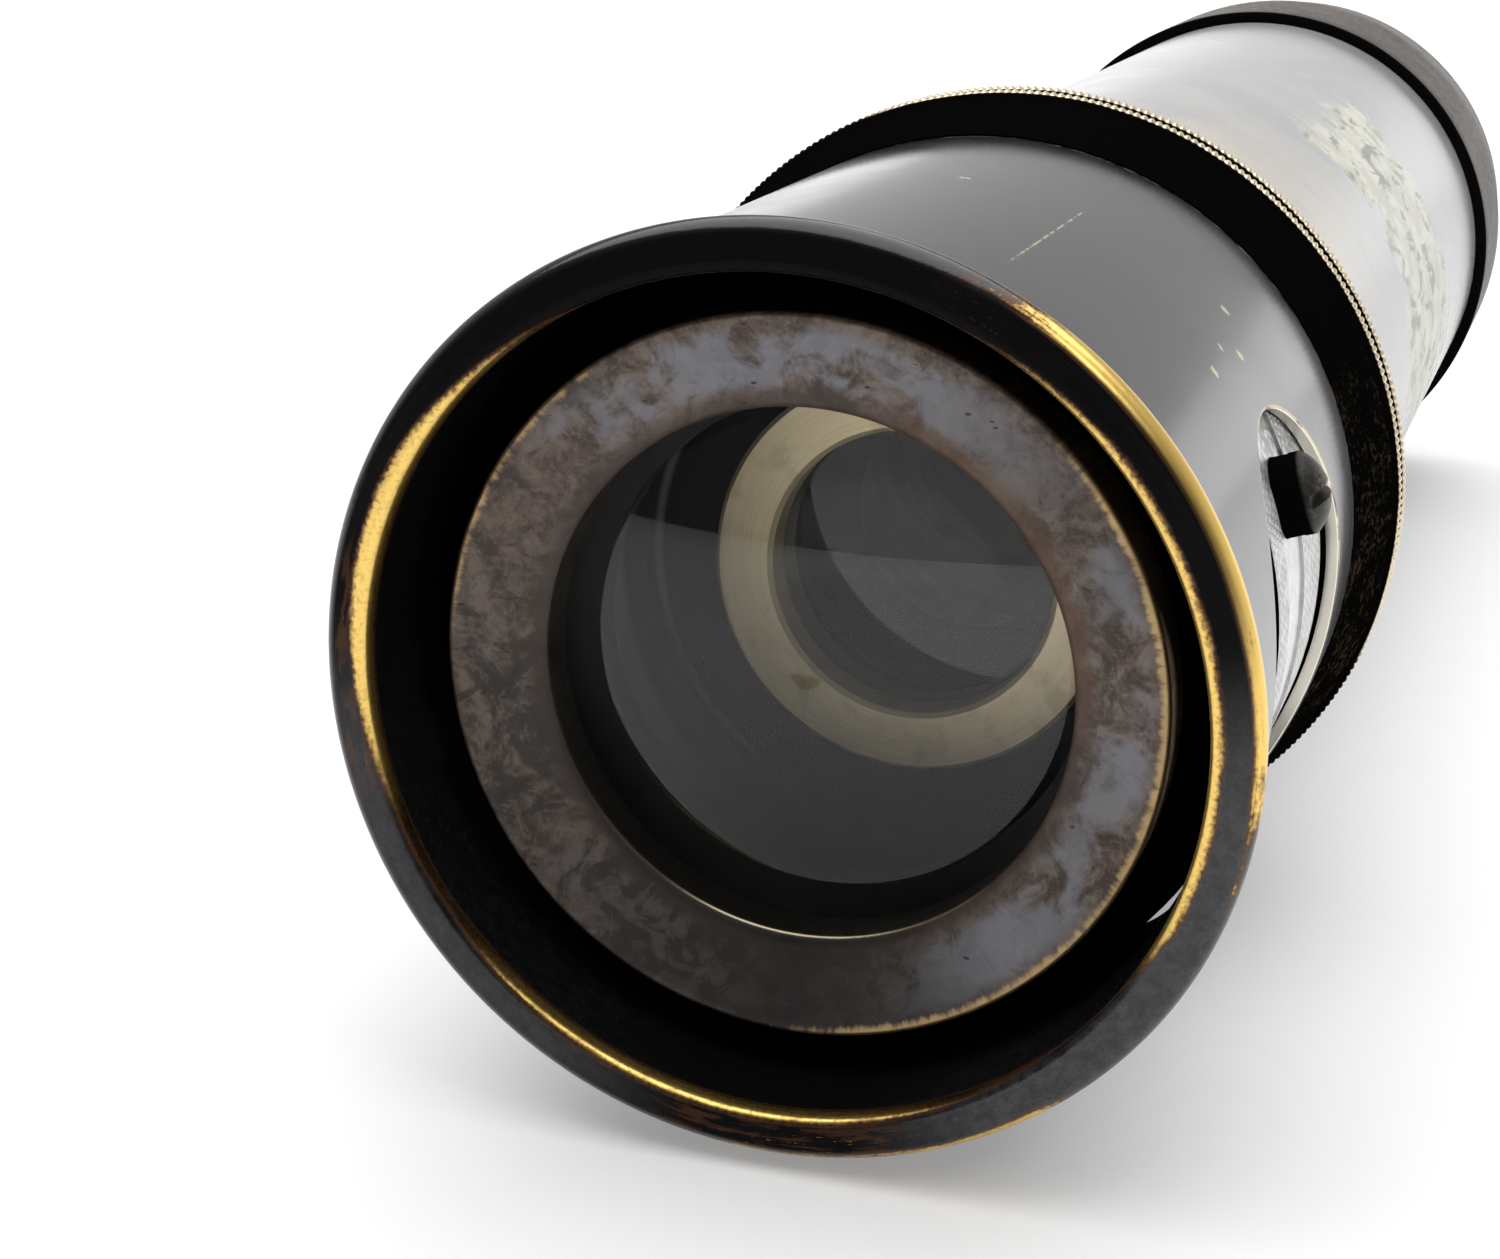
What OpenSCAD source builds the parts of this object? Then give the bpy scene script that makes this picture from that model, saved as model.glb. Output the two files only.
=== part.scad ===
// Short brass spyglass with a wide eye lens, a thumb-turned focus ring and a knurled collar.
// The optical axis is Y and looks towards +Y, Z is up, and the origin is the middle of the axis.
// Every piece is first turned about a spindle that points along the axis. Places on the spindle
// are distances behind the crest of the eye rim, and angles run from +X towards +Z.
// The radii step in and out from the eyepiece sleeve, so they all follow its diameter.

/* [Eyepiece sleeve] */
// Outside diameter of the eyepiece sleeve
sleeve_d = 50.4; // [46:0.1:56]
// Wall of the eyepiece sleeve
sleeve_wall = 0.85; // [0.7:0.05:0.9]
// Length of sleeve that shows between the rim and the collar
sleeve_show = 41.3; // [41:0.1:50]

/* [Eye rim] */
// Height of the rim's crest above the sleeve
rim_rise = 1.3; // [1.1:0.1:2.5]
// Length of the rim behind its crest
rim_len = 3.4; // [2.8:0.1:5]
// Radius of the roll at the rim's crest
rim_roll = 1.1; // [0.8:0.1:1.2]
// Radius of the roll at the rim's inner lip
lip_roll = 0.6; // [0.6:0.05:0.8]
// Wall of the spigot that holds the rim in the sleeve
rim_spigot_wall = 0.65; // [0.5:0.05:0.8]
// Length of the spigot that holds the rim in the sleeve
rim_spigot = 3; // [2:0.5:5]

/* [Thumb window] */
// Width of the window in the side of the sleeve, and of its round ends
window_w = 26.6; // [26:0.1:27.6]
// Place of the window's middle behind the rim's crest
window_at = 24.5; // [24:0.1:25.5]
// Angle of the centre of the window's upper end
window_top = -2; // [-3:0.5:-1]
// Angle of the centre of the window's lower end
window_low = -18; // [-24:0.5:-17]

/* [Knurled collar] */
// Height of the collar's beads above the sleeve
collar_rise = 2.3; // [1.8:0.1:4]
// Length of the collar's sloping shoulder
shoulder_len = 6.3; // [5:0.1:9]
// Rise of the shoulder's front edge above the sleeve
shoulder_step = 0.15; // [0.1:0.05:0.5]
// Width of one bead of the collar's edge
bead_w = 2.3; // [1.6:0.1:3]
// Depth of the groove between the beads
bead_groove = 0.5; // [0.3:0.05:0.8]
// Width of the plain band behind the beads
collar_back = 1.1; // [0.6:0.1:2]
// Fall from the beads to the plain band behind them
collar_fall = 0.9; // [0.4:0.1:1.5]

/* [Body tube] */
// Depth of the body tube's surface below the sleeve's
body_step = 1.7; // [1.2:0.1:2]
// Wall of the body tube
body_wall = 1.5; // [1:0.1:1.6]
// Length of body tube that shows between the collar and the ferrule
body_show = 101.1; // [100:1:140]
// Place of the glare stop, measured back from the ferrule's rear face
glare_back = 33; // [20:1:40]
// Height of the glare stop inside the body tube
glare_rise = 7; // [4:0.5:9]
// Length of the glare stop's skirt
glare_skirt = 5; // [4:0.5:8]
// Wall of the glare stop's skirt
glare_wall = 1; // [0.8:0.1:1.5]
// Thickness of the glare stop at its hole
glare_edge = 0.4; // [0.3:0.05:0.8]

/* [Guide tube] */
// Wall of the guide tube under the focus ring
guide_wall = 1.45; // [1.2:0.05:1.5]
// Place of the guide tube's front end behind the rim's crest
guide_front = 8; // [7.5:0.5:9]
// Length of the guide tube's land that carries the sleeve
land_len = 11.6; // [11:0.1:13]
// Length of the land that the collar covers beyond the sleeve
land_lap = 1; // [0.8:0.1:1.5]
// Length of the guide tube's spigot inside the body tube
guide_spigot = 9; // [7:0.5:10]
// Width of the ring that keeps the focus ring in place
keeper_w = 4.2; // [3:0.1:5]
// Width of the guide key
key_w = 3; // [2:0.5:4]
// Length of the guide key
key_len = 3; // [2:0.5:4]
// Distance from the lens tube's front end to the key
key_back = 2; // [1.5:0.5:3]

/* [Focus ring] */
// Gap between the sleeve and the focus ring's knurled bands
ring_gap = 0.15; // [0.1:0.01:0.25]
// Wall of the focus ring
ring_wall = 1.75; // [1.6:0.05:2]
// Place of the focus ring's front face behind the rim's crest
ring_front = 19.2; // [18.5:0.1:20]
// Width of the focus ring's front band
band_front = 3.8; // [3:0.1:3.8]
// Width of the waist between the bands
waist_w = 6.1; // [6:0.1:7]
// Width of the focus ring's rear band
band_rear = 7.2; // [6:0.1:7.5]
// Depth of the waist below the bands
waist_depth = 0.2; // [0.1:0.05:0.3]
// Angle of the drive screw round the sleeve, at rest
screw_angle = 17.5; // [16:0.5:18]
// Turn of the ring from rest that lets the lens tube out, in degrees
turn_out = 5; // [2:1:6]
// Turn of the ring from rest that draws the lens tube in, in degrees
turn_in = 57; // [40:1:60]
// Travel of the lens tube for a whole turn of the ring
lead = 48; // [36:1:50]

/* [Drive screw] */
// Diameter of the drive screw's shank
shank_d = 3.2; // [2.6:0.1:3.4]
// Diameter of the drive screw's collar
screw_collar_d = 4.9; // [4.4:0.1:5]
// Depth of the collar's seat below the top of the focus ring
collar_sink = 1; // [0.8:0.05:1.1]
// Height of the collar above its seat
screw_collar_h = 1.8; // [1.6:0.05:2.2]
// Diameter of the drive screw's head
head_d = 5; // [4.6:0.1:5.4]
// Height of the drive screw's head
head_h = 1.9; // [1.6:0.1:2.1]
// Radius of the dome on the head
head_dome = 3.1; // [2.8:0.1:4]
// Width of the slot in the head
driver_w = 0.8; // [0.6:0.05:1]
// Depth of the slot in the head
driver_depth = 0.9; // [0.6:0.05:1.1]
// Angle between the slot and the optical axis
driver_turn = 7; // [0:1:90]

/* [Lens tube] */
// Wall of the lens tube
lens_tube_wall = 1.5; // [1.3:0.05:1.6]
// Place of the lens tube's rear end behind the rim's crest
lens_tube_end = 46; // [44:0.5:47]
// Place of the eye cell's outer edge behind the rim's crest
cell_recess = 3.7; // [3.4:0.1:4.5]
// Depth of the dish in the face of the eye cell
cell_dish = 1.5; // [0.8:0.1:2]
// Thickness of the eye cell's flange at its edge
cell_flange = 3.3; // [3:0.1:4]
// Thickness of the eye cell's lip in front of the lens
eye_lip_t = 2.8; // [2.4:0.1:3]
// Length of the eye cell's spigot inside the lens tube
cell_spigot = 8; // [7.6:0.1:9]
// Wall of the eye cell round the lens
eye_cell_wall = 1.85; // [1.5:0.05:2.5]

/* [Eye lenses] */
// Width of the lip that keeps the eye lens in its cell
eye_lip = 2.1; // [1.5:0.1:2.8]
// Thickness of the eye lens at its edge
eye_lens_edge = 1.95; // [1.5:0.05:2.2]
// Radius of curvature of the eye lens in front
eye_lens_front_r = 55; // [50:1:90]
// Radius of curvature of the eye lens behind
eye_lens_rear_r = 50; // [48:1:90]
// Width of the ring that holds the eye lens, measured on the lens
eye_keeper_lip = 2.9; // [2.5:0.1:3.5]
// Distance from the ring that holds the eye lens to the end of the cell
eye_keeper_back = 1.4; // [1:0.1:2]
// Wall of the chamber between the lenses
chamber_wall = 1.2; // [0.8:0.1:1.8]
// Place of the brass ring's face behind the rim's crest
brass_face = 27; // [26:0.1:29]
// Width of the holder round the brass ring
holder_w = 6.4; // [5:0.1:7]
// Depth of the holder's face behind the brass ring's
holder_back = 1; // [0.6:0.1:1.5]
// Width of the brass ring's face
brass_w = 3.8; // [3:0.1:4.5]
// Thickness of the brass ring
brass_t = 2.5; // [2.2:0.1:3]
// Width of the field lens's edge under the brass ring
brass_lap = 2.3; // [2:0.1:2.6]
// Radius of curvature of the field lens on its far side, where it bulges
field_lens_ball = 24; // [22:1:60]
// Thickness of the field lens at its edge
field_lens_edge = 4.3; // [3:0.1:5]
// Width of the lip behind the field lens
field_lip = 1.5; // [1:0.1:2]
// Thickness of the lip behind the field lens
field_lip_t = 1.6; // [1.5:0.05:2.2]
// Height of the field stop's edge over the field lens's edge
field_stop_rise = 3.5; // [3:0.1:5]
// Distance from the field lens cell to the field stop
field_stop_gap = 7; // [5:0.5:8]
// Thickness of the field stop
field_stop_t = 1.2; // [0.8:0.1:1.5]
// Wall of the field stop's skirt
field_skirt = 1; // [0.8:0.1:1.3]

/* [Erector] */
// Place of the erector tube's middle, behind the body tube's front end
erector_at = 32; // [31:0.5:36]
// Length of the erector tube
erector_len = 40; // [36:0.5:42]
// Height of the rings that carry the erector tube
carrier_rise = 9.5; // [8:0.5:11]
// Width of the rings that carry the erector tube
carrier_w = 3.5; // [3:0.1:6]
// Thickness of the web of those rings
carrier_web = 1.5; // [1:0.1:2]
// Width of the inner flange of those rings
carrier_hub = 2; // [1.5:0.1:3]
// Width of the outer flange of those rings
carrier_rim = 1.5; // [1:0.1:2]
// Wall of the erector tube
erector_wall = 1.5; // [1.2:0.1:1.6]
// Depth of the counterbore for an erector lens
erector_seat = 8; // [7:0.1:10]
// Height of the shoulder behind an erector lens
erector_shoulder = 1.2; // [0.9:0.1:1.4]
// Thickness of an erector lens at its edge
erector_lens_edge = 1.6; // [1.2:0.1:2]
// Radius of curvature of an erector lens
erector_lens_ball = 40; // [34:1:60]
// Width of the ring that holds an erector lens
erector_keeper_w = 2.3; // [1.8:0.1:3]
// Diameter of the hole in the erector stop
erector_stop_d = 8; // [5:0.5:12]
// Thickness of the erector stop at its hole
erector_stop_edge = 0.4; // [0.3:0.05:0.6]
// Thickness of the erector stop at the tube
erector_stop_t = 1.2; // [1:0.1:2]

/* [Objective] */
// Height of the ferrule above the body tube
ferrule_rise = 1.1; // [0.8:0.1:2.5]
// Wall of the ferrule
ferrule_wall = 2; // [1.8:0.1:2.4]
// Length of the ferrule's straight part
ferrule_straight = 16; // [14:0.5:17]
// Length of the ferrule's taper
ferrule_taper = 12; // [10:0.5:14]
// Fall of the ferrule's taper
ferrule_fall = 1; // [0.4:0.1:1.1]
// Length of body tube inside the ferrule
ferrule_seat = 8; // [6:0.5:9]
// Wall of the objective cell
objective_cell_wall = 2.45; // [2:0.05:3]
// Length of the objective cell
cell_len = 13.5; // [12.8:0.1:14]
// Length of the lip behind the objective lenses
cell_lip = 3.5; // [2.5:0.1:4]
// Width of the lips that keep the objective lenses in
objective_lip = 1.5; // [1.2:0.1:2]
// Radius of curvature of the crown lens
crown_ball = 60; // [56:1:80]
// Difference between the facing curves of the crown and flint lenses
flint_ease = 2; // [1:0.5:4]
// Thickness of the crown lens at its edge
crown_edge = 2; // [1.4:0.1:2.4]
// Thickness of the flint lens at its edge
flint_edge = 5; // [4.4:0.1:5.4]
// Gap between the crown and flint lenses at their edges
air_gap = 0.3; // [0.28:0.01:0.4]
// Width of the foil ring that keeps that gap
foil_w = 1.1; // [0.8:0.1:1.4]

/* [Fits] */
// Radial clearance of parts that turn or slide on each other
run_gap = 0.05; // [0.03:0.01:0.08]
// Clearance of a pin in its slot, on each side
slot_gap = 0.1; // [0.06:0.01:0.15]
// Axial clearance of the captive focus ring, at each end
end_gap = 0.1; // [0.05:0.01:0.2]
// Clearance round a lens in its cell
glass_gap = 0.05; // [0.03:0.01:0.1]
// Clearance of a foil ring from the lenses
foil_gap = 0.03; // [0.02:0.01:0.05]
// Edge break on turned corners
edge = 0.3; // [0.1:0.05:0.4]

/* [Hidden] */
$fn = 144;

// Cutters reach this far past the faces that they cut
over = 1;
// The straight part of a slot round a tube is this much narrower, on each side, than its round ends
slot_blend = 0.03;

// Radii
sleeve_r = sleeve_d / 2;
sleeve_bore = sleeve_r - sleeve_wall;
crest_r = sleeve_r + rim_rise;
mouth_r = sleeve_bore - rim_spigot_wall;
bead_top = sleeve_r + collar_rise;
body_r = sleeve_r - body_step;
body_bore = body_r - body_wall;
ring_r = sleeve_bore - ring_gap;
ring_bore = ring_r - ring_wall;
waist_r = ring_r - waist_depth;
guide_r = ring_bore - run_gap;
guide_bore = guide_r - guide_wall;
lens_tube_r = guide_bore - run_gap;
lens_tube_bore = lens_tube_r - lens_tube_wall;
erector_r = body_bore - carrier_rise;
erector_bore = erector_r - erector_wall;
erector_clear = erector_bore - erector_shoulder;
erector_lens_r = erector_bore - glass_gap;
ferrule_r = body_r + ferrule_rise;
ferrule_bore = ferrule_r - ferrule_wall;

// Places along the axis, behind the crest of the rim
rim_nose = 2 * lip_roll;
sleeve_front = rim_len;
collar_front = sleeve_front + sleeve_show;
waist_front = ring_front + band_front;
screw_at = waist_front + waist_w / 2;
ring_rear = waist_front + waist_w + band_rear;
land_front = ring_rear + end_gap;
land_rear = land_front + land_len;
sleeve_rear = land_rear - land_lap;
body_front = land_rear;
beads_front = collar_front + shoulder_len;
beads_rear = beads_front + 2 * bead_w;
collar_rear = beads_rear + collar_back;
ferrule_rear = collar_rear + body_show;
body_rear = ferrule_rear + ferrule_seat;
ferrule_front = ferrule_rear + ferrule_straight + ferrule_taper;
glare_at = ferrule_rear - glare_back;
erector_mid = body_front + erector_at;
erector_rear_end = erector_mid - erector_len / 2;
erector_front_end = erector_mid + erector_len / 2;
axis_mid = (ferrule_front - rim_nose) / 2;

// Eye cell and what it holds
cell_face = cell_recess + cell_dish;
tube_front = cell_recess + cell_flange;
cell_end = tube_front + cell_spigot;
key_front = tube_front + key_back;
lens_pocket = lens_tube_bore - eye_cell_wall;
eye_lens_r = lens_pocket - glass_gap;
eye_r = eye_lens_r - eye_lip;
lens_lip = cell_face + eye_lip_t;
eye_lens_seat = lens_lip + glass_gap + rise(eye_lens_front_r, eye_lens_r) - rise(eye_lens_front_r, eye_r);
eye_lens_back = eye_lens_seat + eye_lens_edge;
eye_keeper_end = cell_end - eye_keeper_back;

// Brass ring, field lens and their cell
brass_r = lens_tube_bore - holder_w;
brass_bore = brass_r - brass_w;
brass_back = brass_face + brass_t;
field_cell_front = brass_face + holder_back;
field_lens_r = brass_bore + brass_lap;
field_lens_seat = brass_back + 2 * glass_gap;
field_lens_back = field_lens_seat + field_lens_edge;
field_cell_end = field_lens_back + glass_gap + field_lip_t;
stop_face = field_cell_end + field_stop_gap;
stop_rear = stop_face + field_stop_t;
stop_r = field_lens_r - field_stop_rise;

// Objective
cell_rear = body_rear;
cell_front = cell_rear + cell_len;
objective_pocket = ferrule_bore - objective_cell_wall;
objective_r = objective_pocket - glass_gap;
objective_clear = objective_r - objective_lip;
flint_rear = cell_rear + cell_lip + glass_gap;
flint_seat = flint_rear + flint_edge;
crown_rear = flint_seat + air_gap;
crown_front = crown_rear + crown_edge;
flint_ball = crown_ball + flint_ease;

// Turning the ring by one degree moves the lens tube by this much
travel_per_degree = lead / 360;

// Depth of a spherical cap of radius ball at the distance off from its axis
function rise(ball, off) = ball - sqrt(ball * ball - off * off);

// Lays a piece that was turned about the spindle along the optical axis
module laid() { rotate([-90, 0, 0]) translate([0, 0, -axis_mid]) children(); }

// Points a piece that stands on +Z out of the spindle at an angle and a place
module radial(angle, at) { translate([0, 0, at]) rotate([0, 0, -angle]) rotate([0, 90, 0]) children(); }

// Plain ring between two places
module ring(outer, inner, from, to) {
    translate([0, 0, from]) difference() {
        cylinder(h = to - from, r = outer);
        translate([0, 0, -over]) cylinder(h = to - from + 2 * over, r = inner);
    }
}

// Cuts a slot with round ends part of the way round a tube, from one angle down to another
module slot_round(high, low, at, half, inner, outer) {
    for (a = [high, low]) radial(a, at) cylinder(h = outer, r = half);
    rotate([0, 0, -high]) rotate_extrude(angle = high - low)
        translate([inner, at - half + slot_blend]) square([outer - inner, 2 * (half - slot_blend)]);
}

// Disc of glass whose faces may bulge (positive) or be hollow (negative); zero is flat
module glass(r, from, to, rear_ball, front_ball) {
    bulge_rear = rear_ball > 0 ? rise(rear_ball, r) : 0;
    bulge_front = front_ball > 0 ? rise(front_ball, r) : 0;
    difference() {
        intersection() {
            translate([0, 0, from - bulge_rear]) cylinder(h = to - from + bulge_rear + bulge_front, r = r);
            if (rear_ball > 0) translate([0, 0, from - bulge_rear + rear_ball]) sphere(r = rear_ball, $fn = 240);
            if (front_ball > 0) translate([0, 0, to + bulge_front - front_ball]) sphere(r = front_ball, $fn = 240);
        }
        if (front_ball < 0)
            translate([0, 0, to - rise(-front_ball, r) - front_ball]) sphere(r = -front_ball, $fn = 240);
    }
}

// Outline of a slanted slot on an unrolled tube, as [angle, place] points round its edge
slot_arc_steps = 8;
slot_run_steps = 24;
function slot_point(a, s, half, turn, lean, r) =
    let (along = half * cos(turn), across = half * sin(turn))
    [a + (along * cos(lean) - across * sin(lean)) / r * 180 / PI, s + along * sin(lean) + across * cos(lean)];
function slot_edge(a0, s0, a1, s1, half, r) =
    let (lean = atan2(s1 - s0, (a1 - a0) * PI / 180 * r))
    concat(
        [for (i = [0:slot_arc_steps]) slot_point(a1, s1, half, -90 + 180 * i / slot_arc_steps, lean, r)],
        [for (i = [1:slot_run_steps - 1])
            let (f = i / slot_run_steps) slot_point(a1 + (a0 - a1) * f, s1 + (s0 - s1) * f, half, 90, lean, r)],
        [for (i = [0:slot_arc_steps]) slot_point(a0, s0, half, 90 + 180 * i / slot_arc_steps, lean, r)],
        [for (i = [1:slot_run_steps - 1])
            let (f = i / slot_run_steps) slot_point(a0 + (a1 - a0) * f, s0 + (s1 - s0) * f, half, -90, lean, r)]
    );

// Solid that cuts a helical slot from radius inner to radius outer
module helical_cutter(a0, s0, a1, s1, half, inner, outer) {
    rim = slot_edge(a0, s0, a1, s1, half, inner);
    n = len(rim);
    // the two long edges pair up, so each wall of the cutter is a strip of quads
    top = [for (p = rim) [outer * cos(p[0]), -outer * sin(p[0]), p[1]]];
    low = [for (p = rim) [inner * cos(p[0]), -inner * sin(p[0]), p[1]]];
    half_n = n / 2;
    lid = [for (i = [0:half_n - 2]) for (f = [[i, i + 1, n - 2 - i], [i, n - 2 - i, (n - 1 - i) % n]])
        if (f[0] != f[1] && f[1] != f[2] && f[0] != f[2]) f];
    polyhedron(
        points = concat(top, low),
        faces = concat(
            [for (f = lid) [f[0], f[1], f[2]]],
            [for (f = lid) [f[2] + n, f[1] + n, f[0] + n]],
            [for (i = [0:n - 1]) for (f = [[i, i + n, (i + 1) % n], [(i + 1) % n, i + n, (i + 1) % n + n]]) f]
        ),
        convexity = 4
    );
}

module body_tube() {
    color("dimgray") laid() rotate_extrude() polygon([
        [body_bore, body_front], [body_r, body_front], [body_r, body_rear - edge],
        [body_r - edge, body_rear], [body_bore, body_rear]
    ]);
}

module eyepiece_sleeve() {
    color("dimgray") laid() difference() {
        ring(sleeve_r, sleeve_bore, sleeve_front, sleeve_rear);
        slot_round(window_top, window_low, window_at, window_w / 2, sleeve_bore - over, sleeve_r + over);
    }
}

module eye_rim() {
    color("#2a2320") laid() rotate_extrude() union() {
        translate([crest_r - rim_roll, 0]) circle(r = rim_roll, $fn = 48);
        translate([mouth_r + lip_roll, -lip_roll]) circle(r = lip_roll, $fn = 48);
        polygon([
            [mouth_r, -lip_roll], [mouth_r + lip_roll, -2 * lip_roll], [crest_r - rim_roll, -rim_roll],
            [crest_r, 0], [crest_r - edge, rim_roll], [sleeve_r + edge, sleeve_front - edge],
            [sleeve_r, sleeve_front], [sleeve_bore, sleeve_front],
            [sleeve_bore, sleeve_front + rim_spigot], [mouth_r, sleeve_front + rim_spigot]
        ]);
    }
}

module knurled_collar() {
    bead_r = bead_w / 2;
    color("#1c1a17") laid() rotate_extrude() union() {
        polygon([
            [sleeve_r, collar_front], [sleeve_r + shoulder_step, collar_front],
            [bead_top - bead_groove, beads_front], [bead_top - bead_groove, beads_rear],
            [bead_top - collar_fall, beads_rear], [bead_top - collar_fall, collar_rear - edge],
            [bead_top - collar_fall - edge, collar_rear], [body_r, collar_rear],
            [body_r, body_front], [sleeve_bore, body_front], [sleeve_bore, sleeve_rear],
            [sleeve_r, sleeve_rear]
        ]);
        for (k = [0, 1]) intersection() {
            translate([bead_top - bead_r, beads_front + (k + 0.5) * bead_w]) circle(r = bead_r, $fn = 48);
            translate([bead_top - bead_r, beads_front + k * bead_w]) square([bead_w, bead_w]);
        }
    }
}

module guide_tube() {
    slot_half = shank_d / 2 + slot_gap;
    low = screw_angle - turn_in;
    high = screw_angle + turn_out;
    key_slot = key_w + 2 * slot_gap;
    key_end = key_front + key_len + turn_in * travel_per_degree + 4 * slot_gap;
    color("#6b5a33") laid() difference() {
        rotate_extrude() polygon([
            [guide_bore, guide_front], [guide_r, guide_front], [guide_r, land_front],
            [sleeve_bore, land_front], [sleeve_bore, land_rear], [body_bore, land_rear],
            [body_bore, land_rear + guide_spigot], [guide_bore, land_rear + guide_spigot]
        ]);
        // the drive screw swings through this slot
        slot_round(high, low, screw_at, slot_half, guide_bore - over, guide_r + over);
        // the key of the lens tube slides in this one
        rotate([0, 0, -screw_angle - 180]) translate([0, -key_slot / 2, guide_front - over])
            cube([guide_r + over, key_slot, key_end - guide_front + over]);
    }
}

module ring_keeper() {
    rear = ring_front - end_gap;
    color("#1c1a17") laid() ring(ring_r, guide_r, rear - keeper_w, rear);
}

module focus_ring() {
    color("#8a8a86") laid() difference() {
        rotate_extrude() polygon([
            [ring_bore, ring_front], [ring_r - edge, ring_front], [ring_r, ring_front + edge],
            [ring_r, waist_front], [waist_r, waist_front], [waist_r, waist_front + waist_w],
            [ring_r, waist_front + waist_w], [ring_r, ring_rear - edge], [ring_r - edge, ring_rear],
            [ring_bore, ring_rear]
        ]);
        radial(screw_angle, screw_at) cylinder(h = ring_r + over, d = shank_d);
        radial(screw_angle, screw_at) translate([0, 0, ring_r - collar_sink])
            cylinder(h = collar_sink + over, d = screw_collar_d + 2 * glass_gap);
    }
}

module drive_screw() {
    seat = ring_r - collar_sink;
    head = seat + screw_collar_h;
    tip = lens_tube_bore + 2 * run_gap;
    color("#2b2620") laid() radial(screw_angle, screw_at) difference() {
        union() {
            translate([0, 0, tip]) cylinder(h = seat - tip, d = shank_d);
            translate([0, 0, seat]) cylinder(h = screw_collar_h, d = screw_collar_d);
            intersection() {
                translate([0, 0, head]) cylinder(h = head_h, d = head_d);
                translate([0, 0, head + head_h - head_dome]) sphere(r = head_dome, $fn = 96);
            }
        }
        rotate([0, 0, driver_turn]) translate([-head_d, -driver_w / 2, head + head_h - driver_depth])
            cube([2 * head_d, driver_w, driver_depth + over]);
    }
}

module lens_tube() {
    half = shank_d / 2 + slot_gap;
    out_angle = screw_angle + turn_out;
    in_angle = screw_angle - turn_in;
    color("#1c1a17") laid() difference() {
        ring(lens_tube_r, lens_tube_bore, tube_front, lens_tube_end);
        helical_cutter(
            in_angle, screw_at - turn_in * travel_per_degree,
            out_angle, screw_at + turn_out * travel_per_degree,
            half, lens_tube_bore - over / 4, lens_tube_r + over
        );
    }
}

module guide_key() {
    color("#8c7440") laid() rotate([0, 0, -screw_angle - 180]) intersection() {
        translate([0, -key_w / 2, key_front]) cube([guide_r, key_w, key_len]);
        ring(guide_r - 2 * slot_gap, lens_tube_r, key_front - over, key_front + key_len + over);
    }
}

module eye_cell() {
    color("#6f6259") laid() rotate_extrude() polygon([
        [lens_tube_r - edge, cell_recess], [lens_tube_r, cell_recess + edge], [lens_tube_r, tube_front],
        [lens_tube_bore, tube_front], [lens_tube_bore, cell_end], [lens_pocket, cell_end],
        [lens_pocket, lens_lip], [eye_r, lens_lip], [eye_r, cell_face]
    ]);
}

module eye_lens() {
    color("lightblue") laid() glass(eye_lens_r, eye_lens_seat, eye_lens_back, eye_lens_front_r, eye_lens_rear_r);
}

module eye_lens_retainer() {
    bore = eye_lens_r - eye_keeper_lip;
    clear = eye_lens_back + rise(eye_lens_rear_r, eye_lens_r) - rise(eye_lens_rear_r, bore) + 4 * glass_gap;
    rim = eye_lens_back + glass_gap;
    color("#141312") laid() rotate_extrude() polygon([
        [lens_pocket, rim], [eye_lens_r - 2 * glass_gap, rim], [bore, clear],
        [bore, eye_keeper_end], [lens_pocket, eye_keeper_end]
    ]);
}

module lens_chamber() {
    color("#141312") laid() ring(lens_tube_bore, lens_tube_bore - chamber_wall, cell_end, field_cell_front);
}

module field_lens_cell() {
    pocket = field_lens_r + glass_gap;
    lip = field_lens_r - field_lip;
    seat = field_lens_back + glass_gap;
    clear = seat + rise(field_lens_ball, field_lens_r) - rise(field_lens_ball, lip) + 2 * glass_gap;
    color("#141312") laid() rotate_extrude() polygon([
        [brass_r, field_cell_front], [lens_tube_bore, field_cell_front], [lens_tube_bore, field_cell_end],
        [lip, field_cell_end], [lip, clear], [pocket, seat], [pocket, brass_back], [brass_r, brass_back]
    ]);
}

module brass_ring() {
    color("#c9b27a") laid() rotate_extrude() polygon([
        [brass_bore, brass_face + edge], [brass_bore + edge, brass_face], [brass_r - edge, brass_face],
        [brass_r, brass_face + edge], [brass_r, brass_back], [brass_bore, brass_back]
    ]);
}

module field_lens() {
    color("lightblue") laid() glass(field_lens_r, field_lens_seat, field_lens_back, 0, field_lens_ball);
}

module field_stop() {
    skirt = lens_tube_bore - field_skirt;
    color("#141312") laid() rotate_extrude() polygon([
        [skirt, field_cell_end], [lens_tube_bore, field_cell_end], [lens_tube_bore, stop_rear],
        [stop_r + field_stop_t, stop_rear], [stop_r, stop_face], [skirt, stop_face]
    ]);
}

module erector_tube() {
    color("#141312") laid() rotate_extrude() polygon([
        [erector_bore, erector_rear_end], [erector_r, erector_rear_end], [erector_r, erector_front_end],
        [erector_bore, erector_front_end], [erector_bore, erector_front_end - erector_seat],
        [erector_clear, erector_front_end - erector_seat], [erector_clear, erector_rear_end + erector_seat],
        [erector_bore, erector_rear_end + erector_seat]
    ]);
}

module erector_carrier(from) {
    to = from + carrier_w;
    web_rear = from + (carrier_w - carrier_web) / 2;
    hub = erector_r + carrier_hub;
    rim = body_bore - carrier_rim;
    color("#6b5a33") laid() rotate_extrude() polygon([
        [erector_r, from], [hub, from], [hub, web_rear], [rim, web_rear], [rim, from],
        [body_bore, from], [body_bore, to], [rim, to], [rim, web_rear + carrier_web],
        [hub, web_rear + carrier_web], [hub, to], [erector_r, to]
    ]);
}

module erector_rear_carrier() { erector_carrier(erector_rear_end); }

module erector_front_carrier() { erector_carrier(erector_front_end - erector_seat); }

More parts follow.
